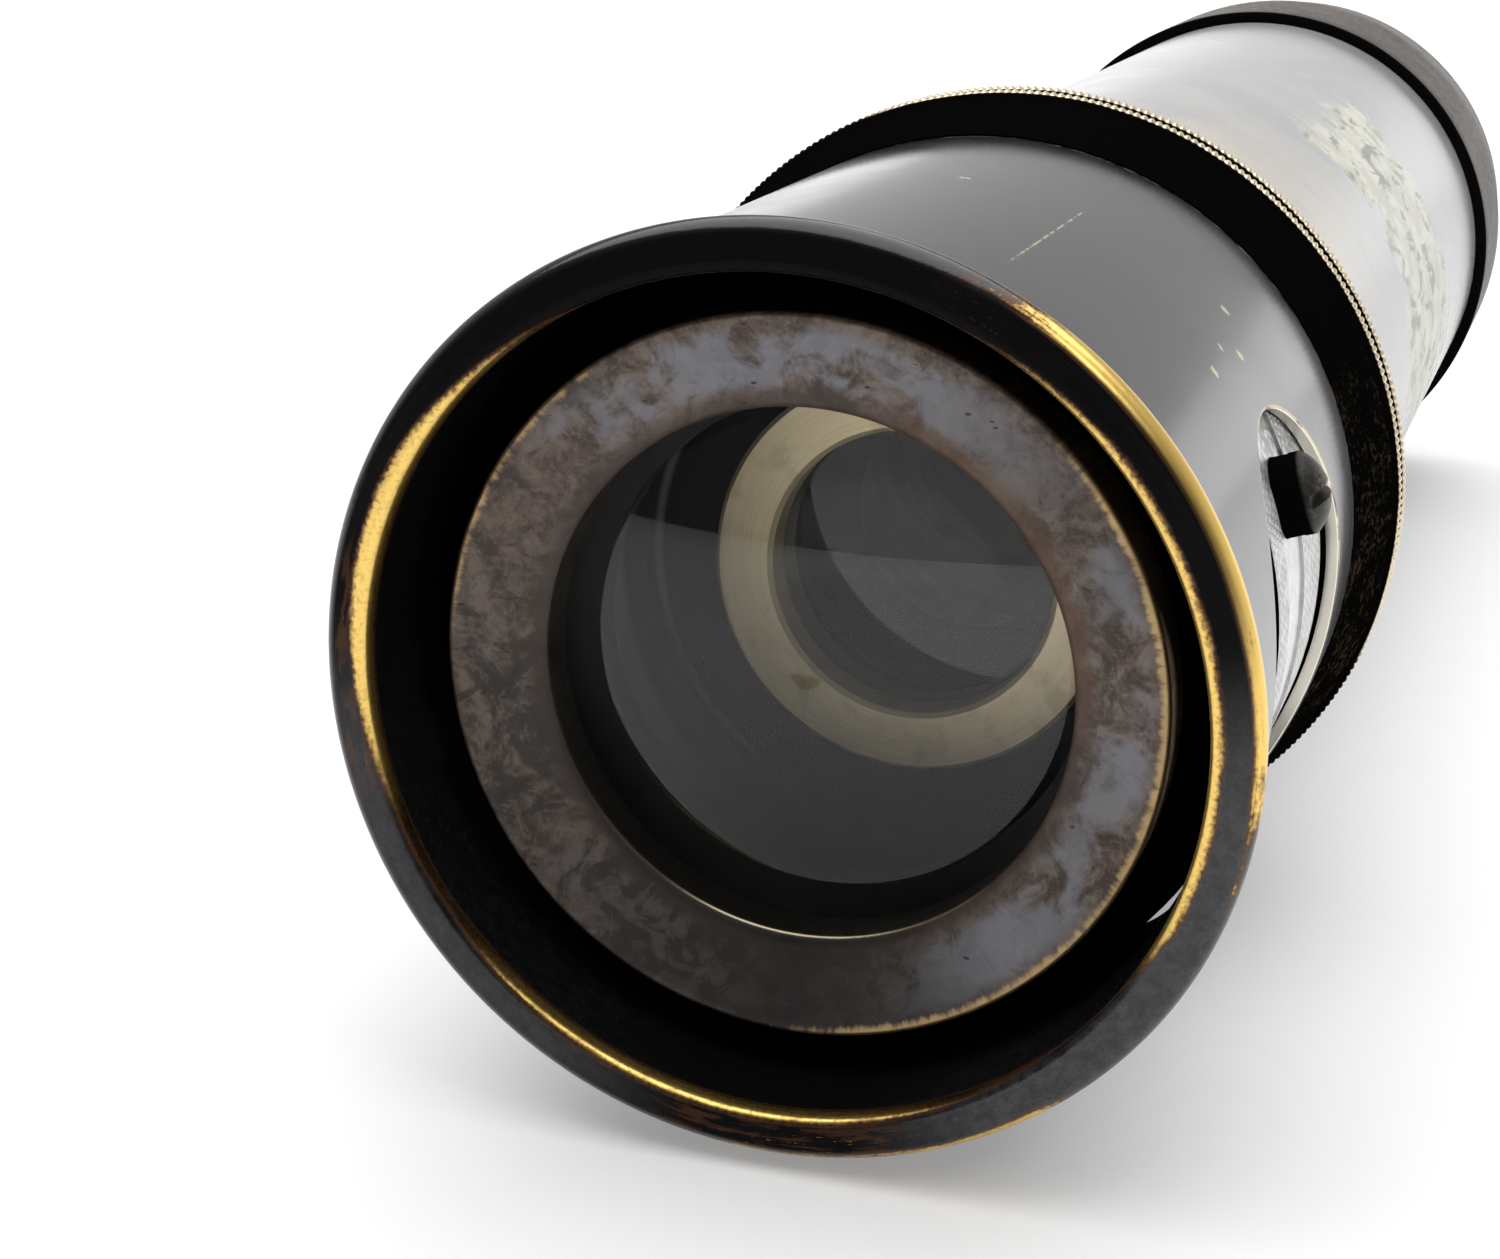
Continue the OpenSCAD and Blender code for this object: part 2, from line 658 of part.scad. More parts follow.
// Distance from the shoulder of an erector lens's seat to the edge of the lens
erector_lift = rise(erector_lens_ball, erector_lens_r) - rise(erector_lens_ball, erector_clear) + glass_gap;

// An erector lens in front of a shoulder (side 1) or behind it (side -1)
module erector_lens(shoulder, side) {
    from = side > 0 ? shoulder + erector_lift : shoulder - erector_lift - erector_lens_edge;
    color("lightblue") laid()
        glass(erector_lens_r, from, from + erector_lens_edge, erector_lens_ball, erector_lens_ball);
}

module erector_rear_lens() { erector_lens(erector_rear_end + erector_seat, -1); }

module erector_front_lens() { erector_lens(erector_front_end - erector_seat, 1); }

module erector_retainer(shoulder, side) {
    near = 2 * erector_lift + erector_lens_edge;
    far = near + erector_keeper_w;
    color("#6b5a33") laid() translate([0, 0, shoulder])
        ring(erector_bore, erector_clear, side > 0 ? near : -far, side > 0 ? far : -near);
}

module erector_rear_retainer() { erector_retainer(erector_rear_end + erector_seat, -1); }

module erector_front_retainer() { erector_retainer(erector_front_end - erector_seat, 1); }

module erector_stop() {
    color("#141312") laid() rotate_extrude() polygon([
        [erector_stop_d / 2, erector_mid - erector_stop_edge / 2],
        [erector_clear, erector_mid - erector_stop_t / 2],
        [erector_clear, erector_mid + erector_stop_t / 2],
        [erector_stop_d / 2, erector_mid + erector_stop_edge / 2]
    ]);
}

module glare_stop() {
    skirt = body_bore - glare_wall;
    rear = glare_at - glare_skirt / 2;
    front = glare_at + glare_skirt / 2;
    color("#141312") laid() rotate_extrude() polygon([
        [body_bore - glare_rise, glare_at], [skirt, glare_at], [skirt, rear], [body_bore, rear],
        [body_bore, front], [skirt, front], [skirt, glare_at + glare_wall],
        [body_bore - glare_rise, glare_at + glare_edge]
    ]);
}

module objective_ferrule() {
    front = ferrule_r - ferrule_fall;
    color("#5d5348") laid() rotate_extrude() polygon([
        [body_r, ferrule_rear], [ferrule_r - edge, ferrule_rear], [ferrule_r, ferrule_rear + edge],
        [ferrule_r, ferrule_rear + ferrule_straight], [front, ferrule_front - edge],
        [front - edge, ferrule_front], [ferrule_bore + edge, ferrule_front],
        [ferrule_bore, ferrule_front - edge], [ferrule_bore, body_rear], [body_r - edge, body_rear],
        [body_r, body_rear - edge]
    ]);
}

module objective_cell() {
    color("#6b5a33") laid() rotate_extrude() polygon([
        [objective_clear, cell_rear], [ferrule_bore, cell_rear], [ferrule_bore, cell_front],
        [objective_pocket, cell_front], [objective_pocket, cell_rear + cell_lip],
        [objective_clear, cell_rear + cell_lip]
    ]);
}

module objective_flint() {
    color("lightblue") laid() glass(objective_r, flint_rear, flint_seat, 0, -flint_ball);
}

module objective_crown() {
    color("lightblue") laid() glass(objective_r, crown_rear, crown_front, crown_ball, crown_ball);
}

module objective_spacer() {
    inner = objective_r - foil_w;
    flint_dip = rise(flint_ball, objective_r) - rise(flint_ball, inner);
    crown_dip = rise(crown_ball, objective_r) - rise(crown_ball, inner);
    color("#b8b8b4") laid() rotate_extrude() polygon([
        [inner, flint_seat - flint_dip + foil_gap], [objective_r, flint_seat + foil_gap],
        [objective_r, crown_rear - foil_gap], [inner, crown_rear - crown_dip - foil_gap]
    ]);
}

module objective_retainer() {
    seat = crown_front + 2 * glass_gap;
    dip = rise(crown_ball, objective_r) - rise(crown_ball, objective_clear);
    color("#1c1a17") laid() rotate_extrude() polygon([
        [objective_pocket, seat], [objective_r - 3 * glass_gap, seat], [objective_clear, seat + dip + 2 * glass_gap],
        [objective_clear, cell_front], [objective_pocket, cell_front]
    ]);
}

body_tube();
eyepiece_sleeve();
eye_rim();
knurled_collar();
guide_tube();
ring_keeper();
glare_stop();
erector_tube();
erector_rear_carrier();
erector_front_carrier();
erector_rear_lens();
erector_front_lens();
erector_rear_retainer();
erector_front_retainer();
erector_stop();
objective_ferrule();
objective_cell();
objective_flint();
objective_spacer();
objective_crown();
objective_retainer();
focus_ring();
drive_screw();
lens_tube();
eye_cell();
eye_lens();
eye_lens_retainer();
lens_chamber();
field_lens_cell();
brass_ring();
field_lens();
field_stop();
guide_key();
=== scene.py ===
"""Looks of the spyglass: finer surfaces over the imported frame, worn metal, glass, light and camera.

Lengths in this script are millimetres until a mesh is made. Places along the axis ("at") are
counted from the crest of the eye rim towards the front, and angles run from +X towards +Z.
"""

import math

import bmesh
import bpy
from mathutils import Matrix, Vector


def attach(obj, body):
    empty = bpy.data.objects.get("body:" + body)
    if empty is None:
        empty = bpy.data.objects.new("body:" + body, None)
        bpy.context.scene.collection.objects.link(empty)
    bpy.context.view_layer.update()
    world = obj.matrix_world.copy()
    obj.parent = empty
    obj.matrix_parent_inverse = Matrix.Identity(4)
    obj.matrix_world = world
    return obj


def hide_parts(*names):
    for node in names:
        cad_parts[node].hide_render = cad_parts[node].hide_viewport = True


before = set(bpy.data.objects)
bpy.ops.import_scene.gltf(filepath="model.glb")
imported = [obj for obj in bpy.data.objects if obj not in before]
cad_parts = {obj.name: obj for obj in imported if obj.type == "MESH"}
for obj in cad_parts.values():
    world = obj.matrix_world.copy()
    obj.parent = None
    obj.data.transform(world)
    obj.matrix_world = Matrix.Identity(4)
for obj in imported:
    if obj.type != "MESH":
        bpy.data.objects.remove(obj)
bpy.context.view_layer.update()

# One millimetre in the frame's metres
MM = 0.001
# Place along the axis of the frame's origin
AXIS_MID = 92.3
# Gap between finer pieces that would touch
GAP = 0.02
# Least distance from the axis that a material divides by
LEAST_RADIUS = 0.001
# Share of its own white that the floor shows beside what the lamps give it
FLOOR_WHITE = 0.25
GLASS_INDEX = 1.52
# Vertices nearer to each other than this, in metres, are made one
WELD = 1e-7
# Direction in which one noise is moved away from another
SHIFT_WAY = (1.0, 0.37, -0.61)
# Steps round the axis of the turned pieces
SEGMENTS = 400
RIM_SEGMENTS = 512

# The eye rim's bore, and the opening of the eye cell
LIP_RADIUS = 23.7
EYE_RADIUS = 15.4

# The sleeve, and the middle, half width and round ends' centres of its thumb window
SLEEVE_RADIUS = 25.2
SLEEVE_BORE = 24.35
SLEEVE_START = 3.4
SLEEVE_END = 47.0
WINDOW_MIDDLE = 24.5
WINDOW_HALF = 13.3
WINDOW_TOP = math.radians(-2)
WINDOW_LOW = math.radians(-18)

# The collar, with the radius of its two beads' roundness, and its teeth's depth and number
COLLAR_RADIUS = 27.5
COLLAR_END = 56.7
BEAD = 1.15
BEADS_START = 51.0
BEADS_END = BEADS_START + 4 * BEAD
TEETH_DEPTH = 0.14
TEETH = 320

# The body tube and the ferrule
TUBE_RADIUS = 23.5
TUBE_BORE = 22.02
TUBE_START = 48.0
TUBE_END = 165.8
FERRULE_START = 157.8
FERRULE_END = 185.8


# Meshes


def arc(at, radius, size, start, end, steps):
    """Points on an arc round (at, radius), with angles from the axis towards the outside."""
    turns = [math.radians(start + (end - start) * i / steps) for i in range(steps + 1)]
    return [(at + size * math.cos(t), radius + size * math.sin(t)) for t in turns]


def line(start, end, steps):
    """Points on a straight line, without its first point."""
    return [tuple(a + (b - a) * i / steps for a, b in zip(start, end)) for i in range(1, steps + 1)]


def make_object(name, points, faces, sharp=35):
    """Makes a mesh object from (x, at, z) points, and links it. Edges over sharp degrees stay sharp."""
    mesh = bpy.data.meshes.new(name)
    placed = [(x * MM, (at - AXIS_MID) * MM, z * MM) for x, at, z in points]
    mesh.from_pydata(placed, [], faces)
    work = bmesh.new()
    work.from_mesh(mesh)
    bmesh.ops.remove_doubles(work, verts=work.verts, dist=WELD)
    bmesh.ops.recalc_face_normals(work, faces=work.faces)
    work.to_mesh(mesh)
    work.free()
    mesh.shade_smooth()
    mesh.set_sharp_from_angle(angle=math.radians(sharp))
    made = bpy.data.objects.new(name, mesh)
    bpy.context.scene.collection.objects.link(made)
    return made


def lathe(name, profile, segments, shape=None, sharp=35):
    """Turns a closed outline of (at, radius) points about the axis. shape may move a point's radius."""
    points, faces, rings = [], [], []
    for at, radius in profile:
        ring = []
        for i in range(segments):
            turn = 2 * math.pi * i / segments
            reach = shape(at, radius, turn) if shape else radius
            ring.append(len(points))
            points.append((reach * math.cos(turn), at, reach * math.sin(turn)))
        rings.append(ring)
    for k, near in enumerate(rings):
        far = rings[(k + 1) % len(rings)]
        for i in range(segments):
            j = (i + 1) % segments
            faces.append([near[i], near[j], far[j], far[i]])
    return make_object(name, points, faces, sharp)


def stand_in(made, node, body, material):
    """Puts a finer piece in the place of a node of the frame."""
    made.data.materials.append(material)
    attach(made, body)
    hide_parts(node)


# Material building


class Nodes:
    """A node tree, built by short calls. Sockets and numbers can be mixed freely."""

    def __init__(self, tree):
        self.tree = tree
        self.tree.nodes.clear()

    def node(self, kind, inputs=None, **settings):
        """Adds a node, with values or links for its inputs."""
        made = self.tree.nodes.new(kind)
        for key, value in settings.items():
            setattr(made, key, value)
        for key, value in (inputs or {}).items():
            self.put(made.inputs[key], value)
        return made

    def put(self, socket, value):
        if isinstance(value, bpy.types.NodeSocket):
            self.tree.links.new(value, socket)
        else:
            socket.default_value = value

    def put_color(self, socket, value):
        """Puts a socket or three numbers into a colour's socket."""
        self.put(socket, value if isinstance(value, bpy.types.NodeSocket) else (*value, 1.0))

    def math(self, operation, a, b=0.0):
        return self.node("ShaderNodeMath", {0: a, 1: b}, operation=operation).outputs[0]

    def add(self, a, b):
        return self.math("ADD", a, b)

    def sub(self, a, b):
        return self.math("SUBTRACT", a, b)

    def mul(self, a, b):
        return self.math("MULTIPLY", a, b)

    def swing(self, value, size):
        """Turns a number from 0 to 1 into one from minus to plus half of size."""
        return self.mul(self.sub(value, 0.5), size)

    def most(self, first, *others):
        """The largest of some numbers."""
        for other in others:
            first = self.math("MAXIMUM", first, other)
        return first

    def ramp(self, value, low, high, start=0.0, end=1.0):
        """Smooth step of value from low to high."""
        inputs = {"Value": value, "From Min": low, "From Max": high, "To Min": start, "To Max": end}
        return self.node("ShaderNodeMapRange", inputs, interpolation_type="SMOOTHSTEP").outputs[0]

    def band(self, value, low, high, soft):
        """One between low and high, and zero outside, with soft edges."""
        rise = self.ramp(value, low - soft, low + soft)
        fall = self.ramp(value, high - soft, high + soft, 1.0, 0.0)
        return self.mul(rise, fall)

    def mix(self, factor, a, b):
        """Colour that goes from a to b with the factor."""
        made = self.node("ShaderNodeMix", data_type="RGBA", clamp_factor=True)
        self.put(made.inputs[0], factor)
        self.put_color(made.inputs[6], a)
        self.put_color(made.inputs[7], b)
        return made.outputs[2]

    def fade(self, factor, a, b):
        """Number that goes from a to b with the factor."""
        return self.node("ShaderNodeMix", {0: factor, 2: a, 3: b}, data_type="FLOAT").outputs[0]

    def curve(self, value, stops):
        """Number that follows (place, level) stops, with places and levels from 0 to 1."""
        made = self.node("ShaderNodeValToRGB", {0: value})
        elements = made.color_ramp.elements
        ordered = sorted(stops)
        for element, (place, level) in zip(elements, (ordered[0], ordered[-1])):
            element.position = place
            element.color = (level, level, level, 1.0)
        for place, level in ordered[1:-1]:
            elements.new(place).color = (level, level, level, 1.0)
        return made.outputs[0]


class Shader(Nodes):
    """One material, with the place on the object at hand as numbers in millimetres."""

    def __init__(self, name):
        self.material = bpy.data.materials.new(name)
        self.material.use_nodes = True
        super().__init__(self.material.node_tree)
        self.output = self.tree.nodes.new("ShaderNodeOutputMaterial")
        position = self.node("ShaderNodeTexCoord").outputs["Object"]
        self.point = self.node(
            "ShaderNodeVectorMath", {0: position, 3: 1 / MM}, operation="SCALE"
        ).outputs[0]
        split = self.node("ShaderNodeSeparateXYZ", {0: self.point})
        self.x, along, self.z = split.outputs
        self.at = self.add(along, AXIS_MID)
        square = self.add(self.mul(self.x, self.x), self.mul(self.z, self.z))
        self.radius = self.most(self.math("SQRT", square), LEAST_RADIUS)
        self.turn = self.math("ARCTAN2", self.z, self.x)

    def around(self, stops, top=1.0):
        """Number that follows (angle, level) stops round the axis. Levels run from 0 to top."""
        part = self.node(
            "ShaderNodeMath", {0: self.turn, 1: 0.5 / math.pi, 2: 0.5}, operation="MULTIPLY_ADD"
        ).outputs[0]
        placed = [(angle / 360 + 0.5, level / top) for angle, level in stops]
        return self.mul(self.curve(part, placed), top)

    def side(self, angle, half_width, core=0.0):
        """One at an angle round the axis, falling to zero half_width degrees away."""
        turn = math.radians(angle)
        toward = self.add(self.mul(self.x, math.cos(turn)), self.mul(self.z, math.sin(turn)))
        cosine = self.math("DIVIDE", toward, self.radius)
        return self.ramp(cosine, math.cos(math.radians(half_width)), math.cos(math.radians(core)))

    def vector(self, x, y, z):
        return self.node("ShaderNodeCombineXYZ", {0: x, 1: y, 2: z}).outputs[0]

    def stretched(self, across, along):
        """Coordinates scaled apart across the axis and along it."""
        return self.vector(self.mul(self.x, across), self.mul(self.at, along), self.mul(self.z, across))

    def spokes(self, across, out):
        """Coordinates that run round the axis and outwards, without a seam."""
        return self.vector(
            self.mul(self.math("DIVIDE", self.x, self.radius), across),
            self.mul(self.math("DIVIDE", self.z, self.radius), across),
            self.mul(self.radius, out),
        )

    def noise(self, scale, detail=4.0, rough=0.55, warp=0.0, vector=None, shift=0.0):
        """Cloudy number from 0 to 1. shift moves it elsewhere, so that two noises differ."""
        place = vector or self.point
        if shift:
            away = tuple(shift * part for part in SHIFT_WAY)
            place = self.node("ShaderNodeVectorMath", {0: place, 1: away}, operation="ADD").outputs[0]
        inputs = {"Vector": place, "Scale": scale, "Detail": detail, "Roughness": rough, "Distortion": warp}
        return self.node("ShaderNodeTexNoise", inputs).outputs[0]

    def dots(self, scale, vector=None):
        """Distance to the nearest of many scattered points."""
        inputs = {"Vector": vector or self.point, "Scale": scale}
        return self.node("ShaderNodeTexVoronoi", inputs, feature="F1").outputs["Distance"]

    def bump(self, height, depth, normal=None):
        """Normal of a surface raised by height (0 to 1) times depth, in millimetres."""
        inputs = {"Height": height, "Distance": depth * MM, "Strength": 1.0}
        if normal:
            inputs["Normal"] = normal
        return self.node("ShaderNodeBump", inputs).outputs[0]

    def surface(self, color, metallic, roughness, normal=None, **extra):
        """Metal or lacquer. extra names further inputs, with _ for a space."""
        made = self.node("ShaderNodeBsdfPrincipled")
        self.put_color(made.inputs["Base Color"], color)
        self.put(made.inputs["Metallic"], metallic)
        self.put(made.inputs["Roughness"], roughness)
        if normal:
            self.put(made.inputs["Normal"], normal)
        for key, value in extra.items():
            self.put(made.inputs[key.replace("_", " ")], value)
        return made.outputs[0]

    def finish(self, shader):
        """Ends the material with its shader."""
        self.tree.links.new(shader, self.output.inputs["Surface"])
        return self.material


# Materials


# Colours of the metals and of the lacquer, in linear light
BRASS = (0.88, 0.60, 0.17)
OLD_BRASS = (0.30, 0.19, 0.07)
BROWN = (0.075, 0.032, 0.014)
LACQUER = (0.005, 0.0047, 0.0047)

# How far the bare brass reaches outwards from the rim's inner lip, in millimetres, by angle
LIP_WEAR = [
    (-180, 0.95), (-170, 0.6), (-160, 0.25), (-145, 0.12), (-132, 0.35), (-120, 0.5), (-80, 0.5), (-70, 0.35),
    (-60, 0.15), (-45, 0.0), (-35, 0.0), (-22, 0.8), (0, 0.9), (20, 0.85), (40, 0.8), (55, 0.5), (62, 0.2),
    (70, 0.0), (115, 0.0), (120, 0.15), (135, 0.6), (150, 1.25), (165, 1.35), (180, 0.95),
]
# How bare the rim's crest is, from 0 to 1, by angle
CREST_WEAR = [
    (-180, 0.42), (-165, 0.2), (-150, 0.1), (-120, 0.25), (-95, 0.62), (-75, 0.66), (-54, 0.8), (-46, 0.25),
    (-30, 0.2), (-18, 0.45), (-6, 0.62), (8, 0.85), (25, 0.9), (43, 1.0), (52, 0.85), (64, 0.5), (75, 0.35),
    (86, 0.4), (98, 0.4), (110, 0.3), (130, 0.25), (150, 0.3), (165, 0.45), (180, 0.42),
]
# Chips in the sleeve's lacquer: angle, place along the axis and size
SLEEVE_CHIPS = [
    (43.5, 30.4, 0.46), (37.8, 26.6, 0.44), (38.9, 19.7, 0.4), (83.0, 26.6, 0.36), (40.5, 24.0, 0.28),
    (-65.0, 12.0, 0.4), (-100.0, 35.0, 0.5), (-130.0, 20.0, 0.34), (150.0, 30.0, 0.4), (185.0, 14.0, 0.36),
]
# The scratch along the sleeve's top: its angles in radians, and its places along the axis
SCRATCH_TURN = (1.1618, 1.1664)
SCRATCH_REACH = (10.0, 27.6)


def worn_lacquer(g, wear, under_rough, lacquer, normal, lacquer_rough, shine):
    """Black lacquer over brass. wear is 0 where the lacquer is whole and 1 where it is gone."""
    fringe = g.ramp(wear, 0.2, 0.5)
    bare = g.ramp(wear, 0.46, 0.7)
    color = g.mix(fringe, lacquer, BROWN)
    color = g.mix(bare, color, g.mix(g.ramp(wear, 0.6, 1.0), OLD_BRASS, BRASS))
    metallic = g.ramp(wear, 0.35, 0.6)
    rough = g.fade(g.ramp(wear, 0.3, 0.6), lacquer_rough, under_rough)
    shine = g.fade(metallic, shine, 0.5)
    return g.surface(color, metallic, rough, normal, Specular_IOR_Level=shine)


def rim_material():
    """Lacquer worn to brass on the inner lip and the crest, with a grey haze on its lower half, partly a
    painted reflection of the floor.
    """
    g = Shader("rim_lacquer")
    streak = g.noise(1.0, 5.0, 0.6, vector=g.spokes(9.0, 2.2))
    along = g.noise(1.0, 5.0, 0.65, vector=g.spokes(3.5, 9.0))
    fine = g.noise(3.2, 6.0, 0.65)
    ragged = g.add(g.swing(streak, 0.6), g.swing(fine, 0.5))

    # brass along the inner lip and the crest
    reach = g.around(LIP_WEAR, 1.5)
    inside = g.sub(g.add(reach, LIP_RADIUS), g.radius)
    inside = g.add(inside, g.mul(ragged, g.add(g.mul(reach, 0.5), 0.12)))
    lip = g.mul(g.ramp(inside, -0.34, 0.55), g.ramp(g.at, 0.4, -0.3))
    lip = g.mul(lip, g.fade(g.ramp(fine, 0.3, 0.6), 0.8, 1.0))
    worn = g.around(CREST_WEAR)
    crest = g.mul(g.ramp(g.radius, 25.62, 26.2), g.ramp(g.at, 1.5, 0.4))
    frayed = g.add(g.mul(ragged, 0.8), g.swing(along, 0.5))
    crest = g.mul(crest, g.ramp(g.add(worn, frayed), 0.3, 0.85))

    # specks and brown stains on the face between them
    specks = g.mul(g.ramp(along, 0.52, 0.7), g.ramp(fine, 0.42, 0.62))
    brown_side = g.most(g.side(-88, 26, 12), g.side(180, 26, 10), g.mul(g.side(60, 20, 8), 0.6))
    face = g.mul(specks, g.mul(brown_side, g.band(g.radius, 24.2, 26.2, 0.2)))
    wear = g.most(lip, crest, g.mul(face, 0.75))
    stain = g.mul(g.mul(brown_side, g.band(g.radius, 24.1, 26.3, 0.3)), g.ramp(streak, 0.35, 0.6))
    wear = g.most(wear, g.mul(stain, 0.38))

    # grey haze, duller than the black, its lighter grey partly a painted reflection of the floor, and small
    # dents
    haze = g.ramp(g.noise(1.3, 6.0, 0.75, shift=14.0), 0.3, 0.7)
    haze_sheen_side = g.most(g.side(-32, 48, 22), g.mul(g.side(-145, 45, 15), 0.6))
    haze_sheen_side = g.mul(haze_sheen_side, g.ramp(g.radius, 23.4, 24.3))
    hazy_painted_sheen = g.mul(haze, haze_sheen_side)
    black = g.mix(hazy_painted_sheen, LACQUER, (0.04, 0.04, 0.048))
    outside = g.ramp(g.radius, 25.7, 26.1)
    shine = g.fade(g.most(haze_sheen_side, outside), 0.03, 0.5)
    dents = g.bump(g.noise(0.9, 3.0, 0.5), 0.02)
    dents = g.bump(g.noise(7.0, 3.0, 0.6), 0.0022, dents)
    dents = g.bump(along, 0.004, dents)
    return g.finish(worn_lacquer(g, wear, 0.3, black, dents, g.fade(hazy_painted_sheen, 0.13, 0.36), shine))


def sleeve_material():
    """Glossy black lacquer with chips, a scratch and a bare window edge."""
    g = Shader("sleeve_lacquer")
    cloud = g.noise(0.09, 4.0, 0.55, 0.4)
    grain = g.noise(1.0, 5.0, 0.6, vector=g.stretched(0.25, 6.0))
    pits = g.noise(2.6, 4.0, 0.7, shift=31.0)
    tone = g.mix(g.ramp(cloud, 0.35, 0.7), (0.010, 0.010, 0.011), (0.016, 0.016, 0.017))
    tone = g.mix(g.mul(g.ramp(pits, 0.55, 0.8), 0.3), tone, (0.004, 0.004, 0.004))

    # painted reflection of the floor: the lacquer on the right side beside the window made lighter grey and
    # partly metallic
    painted_floor_sheen = g.mul(g.side(6, 34, 22), 0.3)
    tone = g.mix(painted_floor_sheen, tone, (0.30, 0.30, 0.31))

    # small pale chips
    ragged = g.swing(g.noise(2.6, 5.0, 0.75, shift=9.0), 1.1)
    chipped = 0.0
    for angle, at, size in SLEEVE_CHIPS:
        turn = math.radians(angle)
        middle = (SLEEVE_RADIUS * math.cos(turn), at - AXIS_MID, SLEEVE_RADIUS * math.sin(turn))
        measure = g.node("ShaderNodeVectorMath", {0: g.point, 1: middle}, operation="DISTANCE")
        away = measure.outputs["Value"]
        chipped = g.most(chipped, g.ramp(g.add(away, ragged), size, 0.6 * size))

    # a dashed scratch along the top
    scratch = g.mul(g.band(g.turn, *SCRATCH_TURN, 0.0018), g.band(g.at, *SCRATCH_REACH, 1.0))
    dash = g.noise(1.0, 4.0, 0.7, vector=g.stretched(0.2, 1.1), shift=17.0)
    scratch = g.mul(scratch, g.ramp(dash, 0.42, 0.55))

    # the edge of the thumb window
    over = g.most(g.add(g.mul(g.z, math.cos(WINDOW_TOP)), g.mul(g.x, -math.sin(WINDOW_TOP))), 0.0)
    under = g.most(g.sub(g.mul(g.x, math.sin(WINDOW_LOW)), g.mul(g.z, math.cos(WINDOW_LOW))), 0.0)
    past = g.add(over, under)
    ahead = g.sub(g.at, WINDOW_MIDDLE)
    from_middle = g.math("SQRT", g.add(g.mul(past, past), g.mul(ahead, ahead)))
    cut_face = g.ramp(from_middle, WINDOW_HALF + 0.1, WINDOW_HALF + 0.02)
    cut_face = g.mul(cut_face, g.ramp(g.x, 12.0, 14.0))
    brow = g.mul(g.ramp(from_middle, WINDOW_HALF + 0.3, WINDOW_HALF + 0.1), g.ramp(g.radius, 24.9, 25.05))
    brow = g.mul(brow, g.side(24, 32, 14))
    brow = g.mul(brow, g.ramp(g.noise(0.5, 3.0, 0.6, shift=2.0), 0.3, 0.5))
    window_edge = g.most(cut_face, brow)

    # wear where the sleeve goes under the collar
    far = g.mul(g.ramp(g.at, 44.25, 44.6), g.ramp(g.noise(0.9, 4.0, 0.7), 0.45, 0.68))
    wear = g.most(chipped, scratch, g.mul(far, 0.5), window_edge)
    color = g.mix(wear, tone, g.mix(cut_face, (0.66, 0.55, 0.36), (0.84, 0.80, 0.70)))

    rough = g.fade(g.ramp(cloud, 0.3, 0.75), 0.11, 0.16)
    rough = g.fade(g.ramp(grain, 0.3, 0.7), rough, g.add(rough, 0.03))
    normal = g.bump(g.noise(0.22, 2.0, 0.4), 0.005)
    normal = g.bump(grain, 0.001, normal)
    return g.finish(g.surface(color, g.most(wear, painted_floor_sheen), g.fade(wear, rough, 0.3), normal))


def collar_material():
    """Black lacquer, mottled brown on the right, with pale brass on the tops of the teeth."""
    g = Shader("collar_lacquer")
    fine = g.noise(2.2, 6.0, 0.7)
    broad = g.noise(0.35, 4.0, 0.6, 0.5)

    # wear on the shoulder, on the tops of the teeth and at the far edge
    shoulder = g.ramp(g.at, BEADS_START + 0.2, BEADS_START - 0.1)
    right = g.side(-12, 60, 10)
    mottled = g.mul(g.ramp(g.mul(fine, g.add(broad, 0.5)), 0.34, 0.7), g.mul(right, 0.43))
    beads = g.band(g.at, BEADS_START + 0.1, BEADS_END + 0.1, 0.12)
    tops = g.ramp(g.radius, COLLAR_RADIUS - 0.3, COLLAR_RADIUS - 0.08)
    hollow = g.ramp(g.radius, COLLAR_RADIUS - 0.2, COLLAR_RADIUS - 0.4)
    worn = g.mul(beads, g.mul(tops, g.fade(g.ramp(broad, 0.3, 0.6), 0.75, 1.0)))
    worn = g.mul(worn, g.most(g.side(45, 85, 50), 0.45))
    far = g.mul(g.ramp(g.at, BEADS_END - 0.2, BEADS_END + 0.2), g.ramp(g.noise(1.4, 5.0, 0.6), 0.4, 0.65))
    wear = g.most(g.mul(mottled, shoulder), worn, g.mul(far, 0.5))

    fringe = g.ramp(wear, 0.22, 0.5)
    bare = g.ramp(wear, 0.45, 0.7)
    pale = g.mix(g.ramp(fine, 0.35, 0.65), (0.62, 0.50, 0.32), (0.74, 0.66, 0.50))
    color = g.mix(fringe, (0.0022, 0.002, 0.002), (0.040, 0.027, 0.015))
    color = g.mix(bare, color, pale)
    color = g.mix(g.mul(hollow, beads), color, (0.003, 0.0025, 0.002))
    bright = g.mul(bare, g.sub(1.0, g.mul(hollow, beads)))
    normal = g.bump(g.noise(5.0, 4.0, 0.6), 0.006)
    rough = g.fade(bright, 0.46, 0.34)
    return g.finish(g.surface(color, bright, rough, normal, Specular_IOR_Level=g.mul(bright, 0.5)))


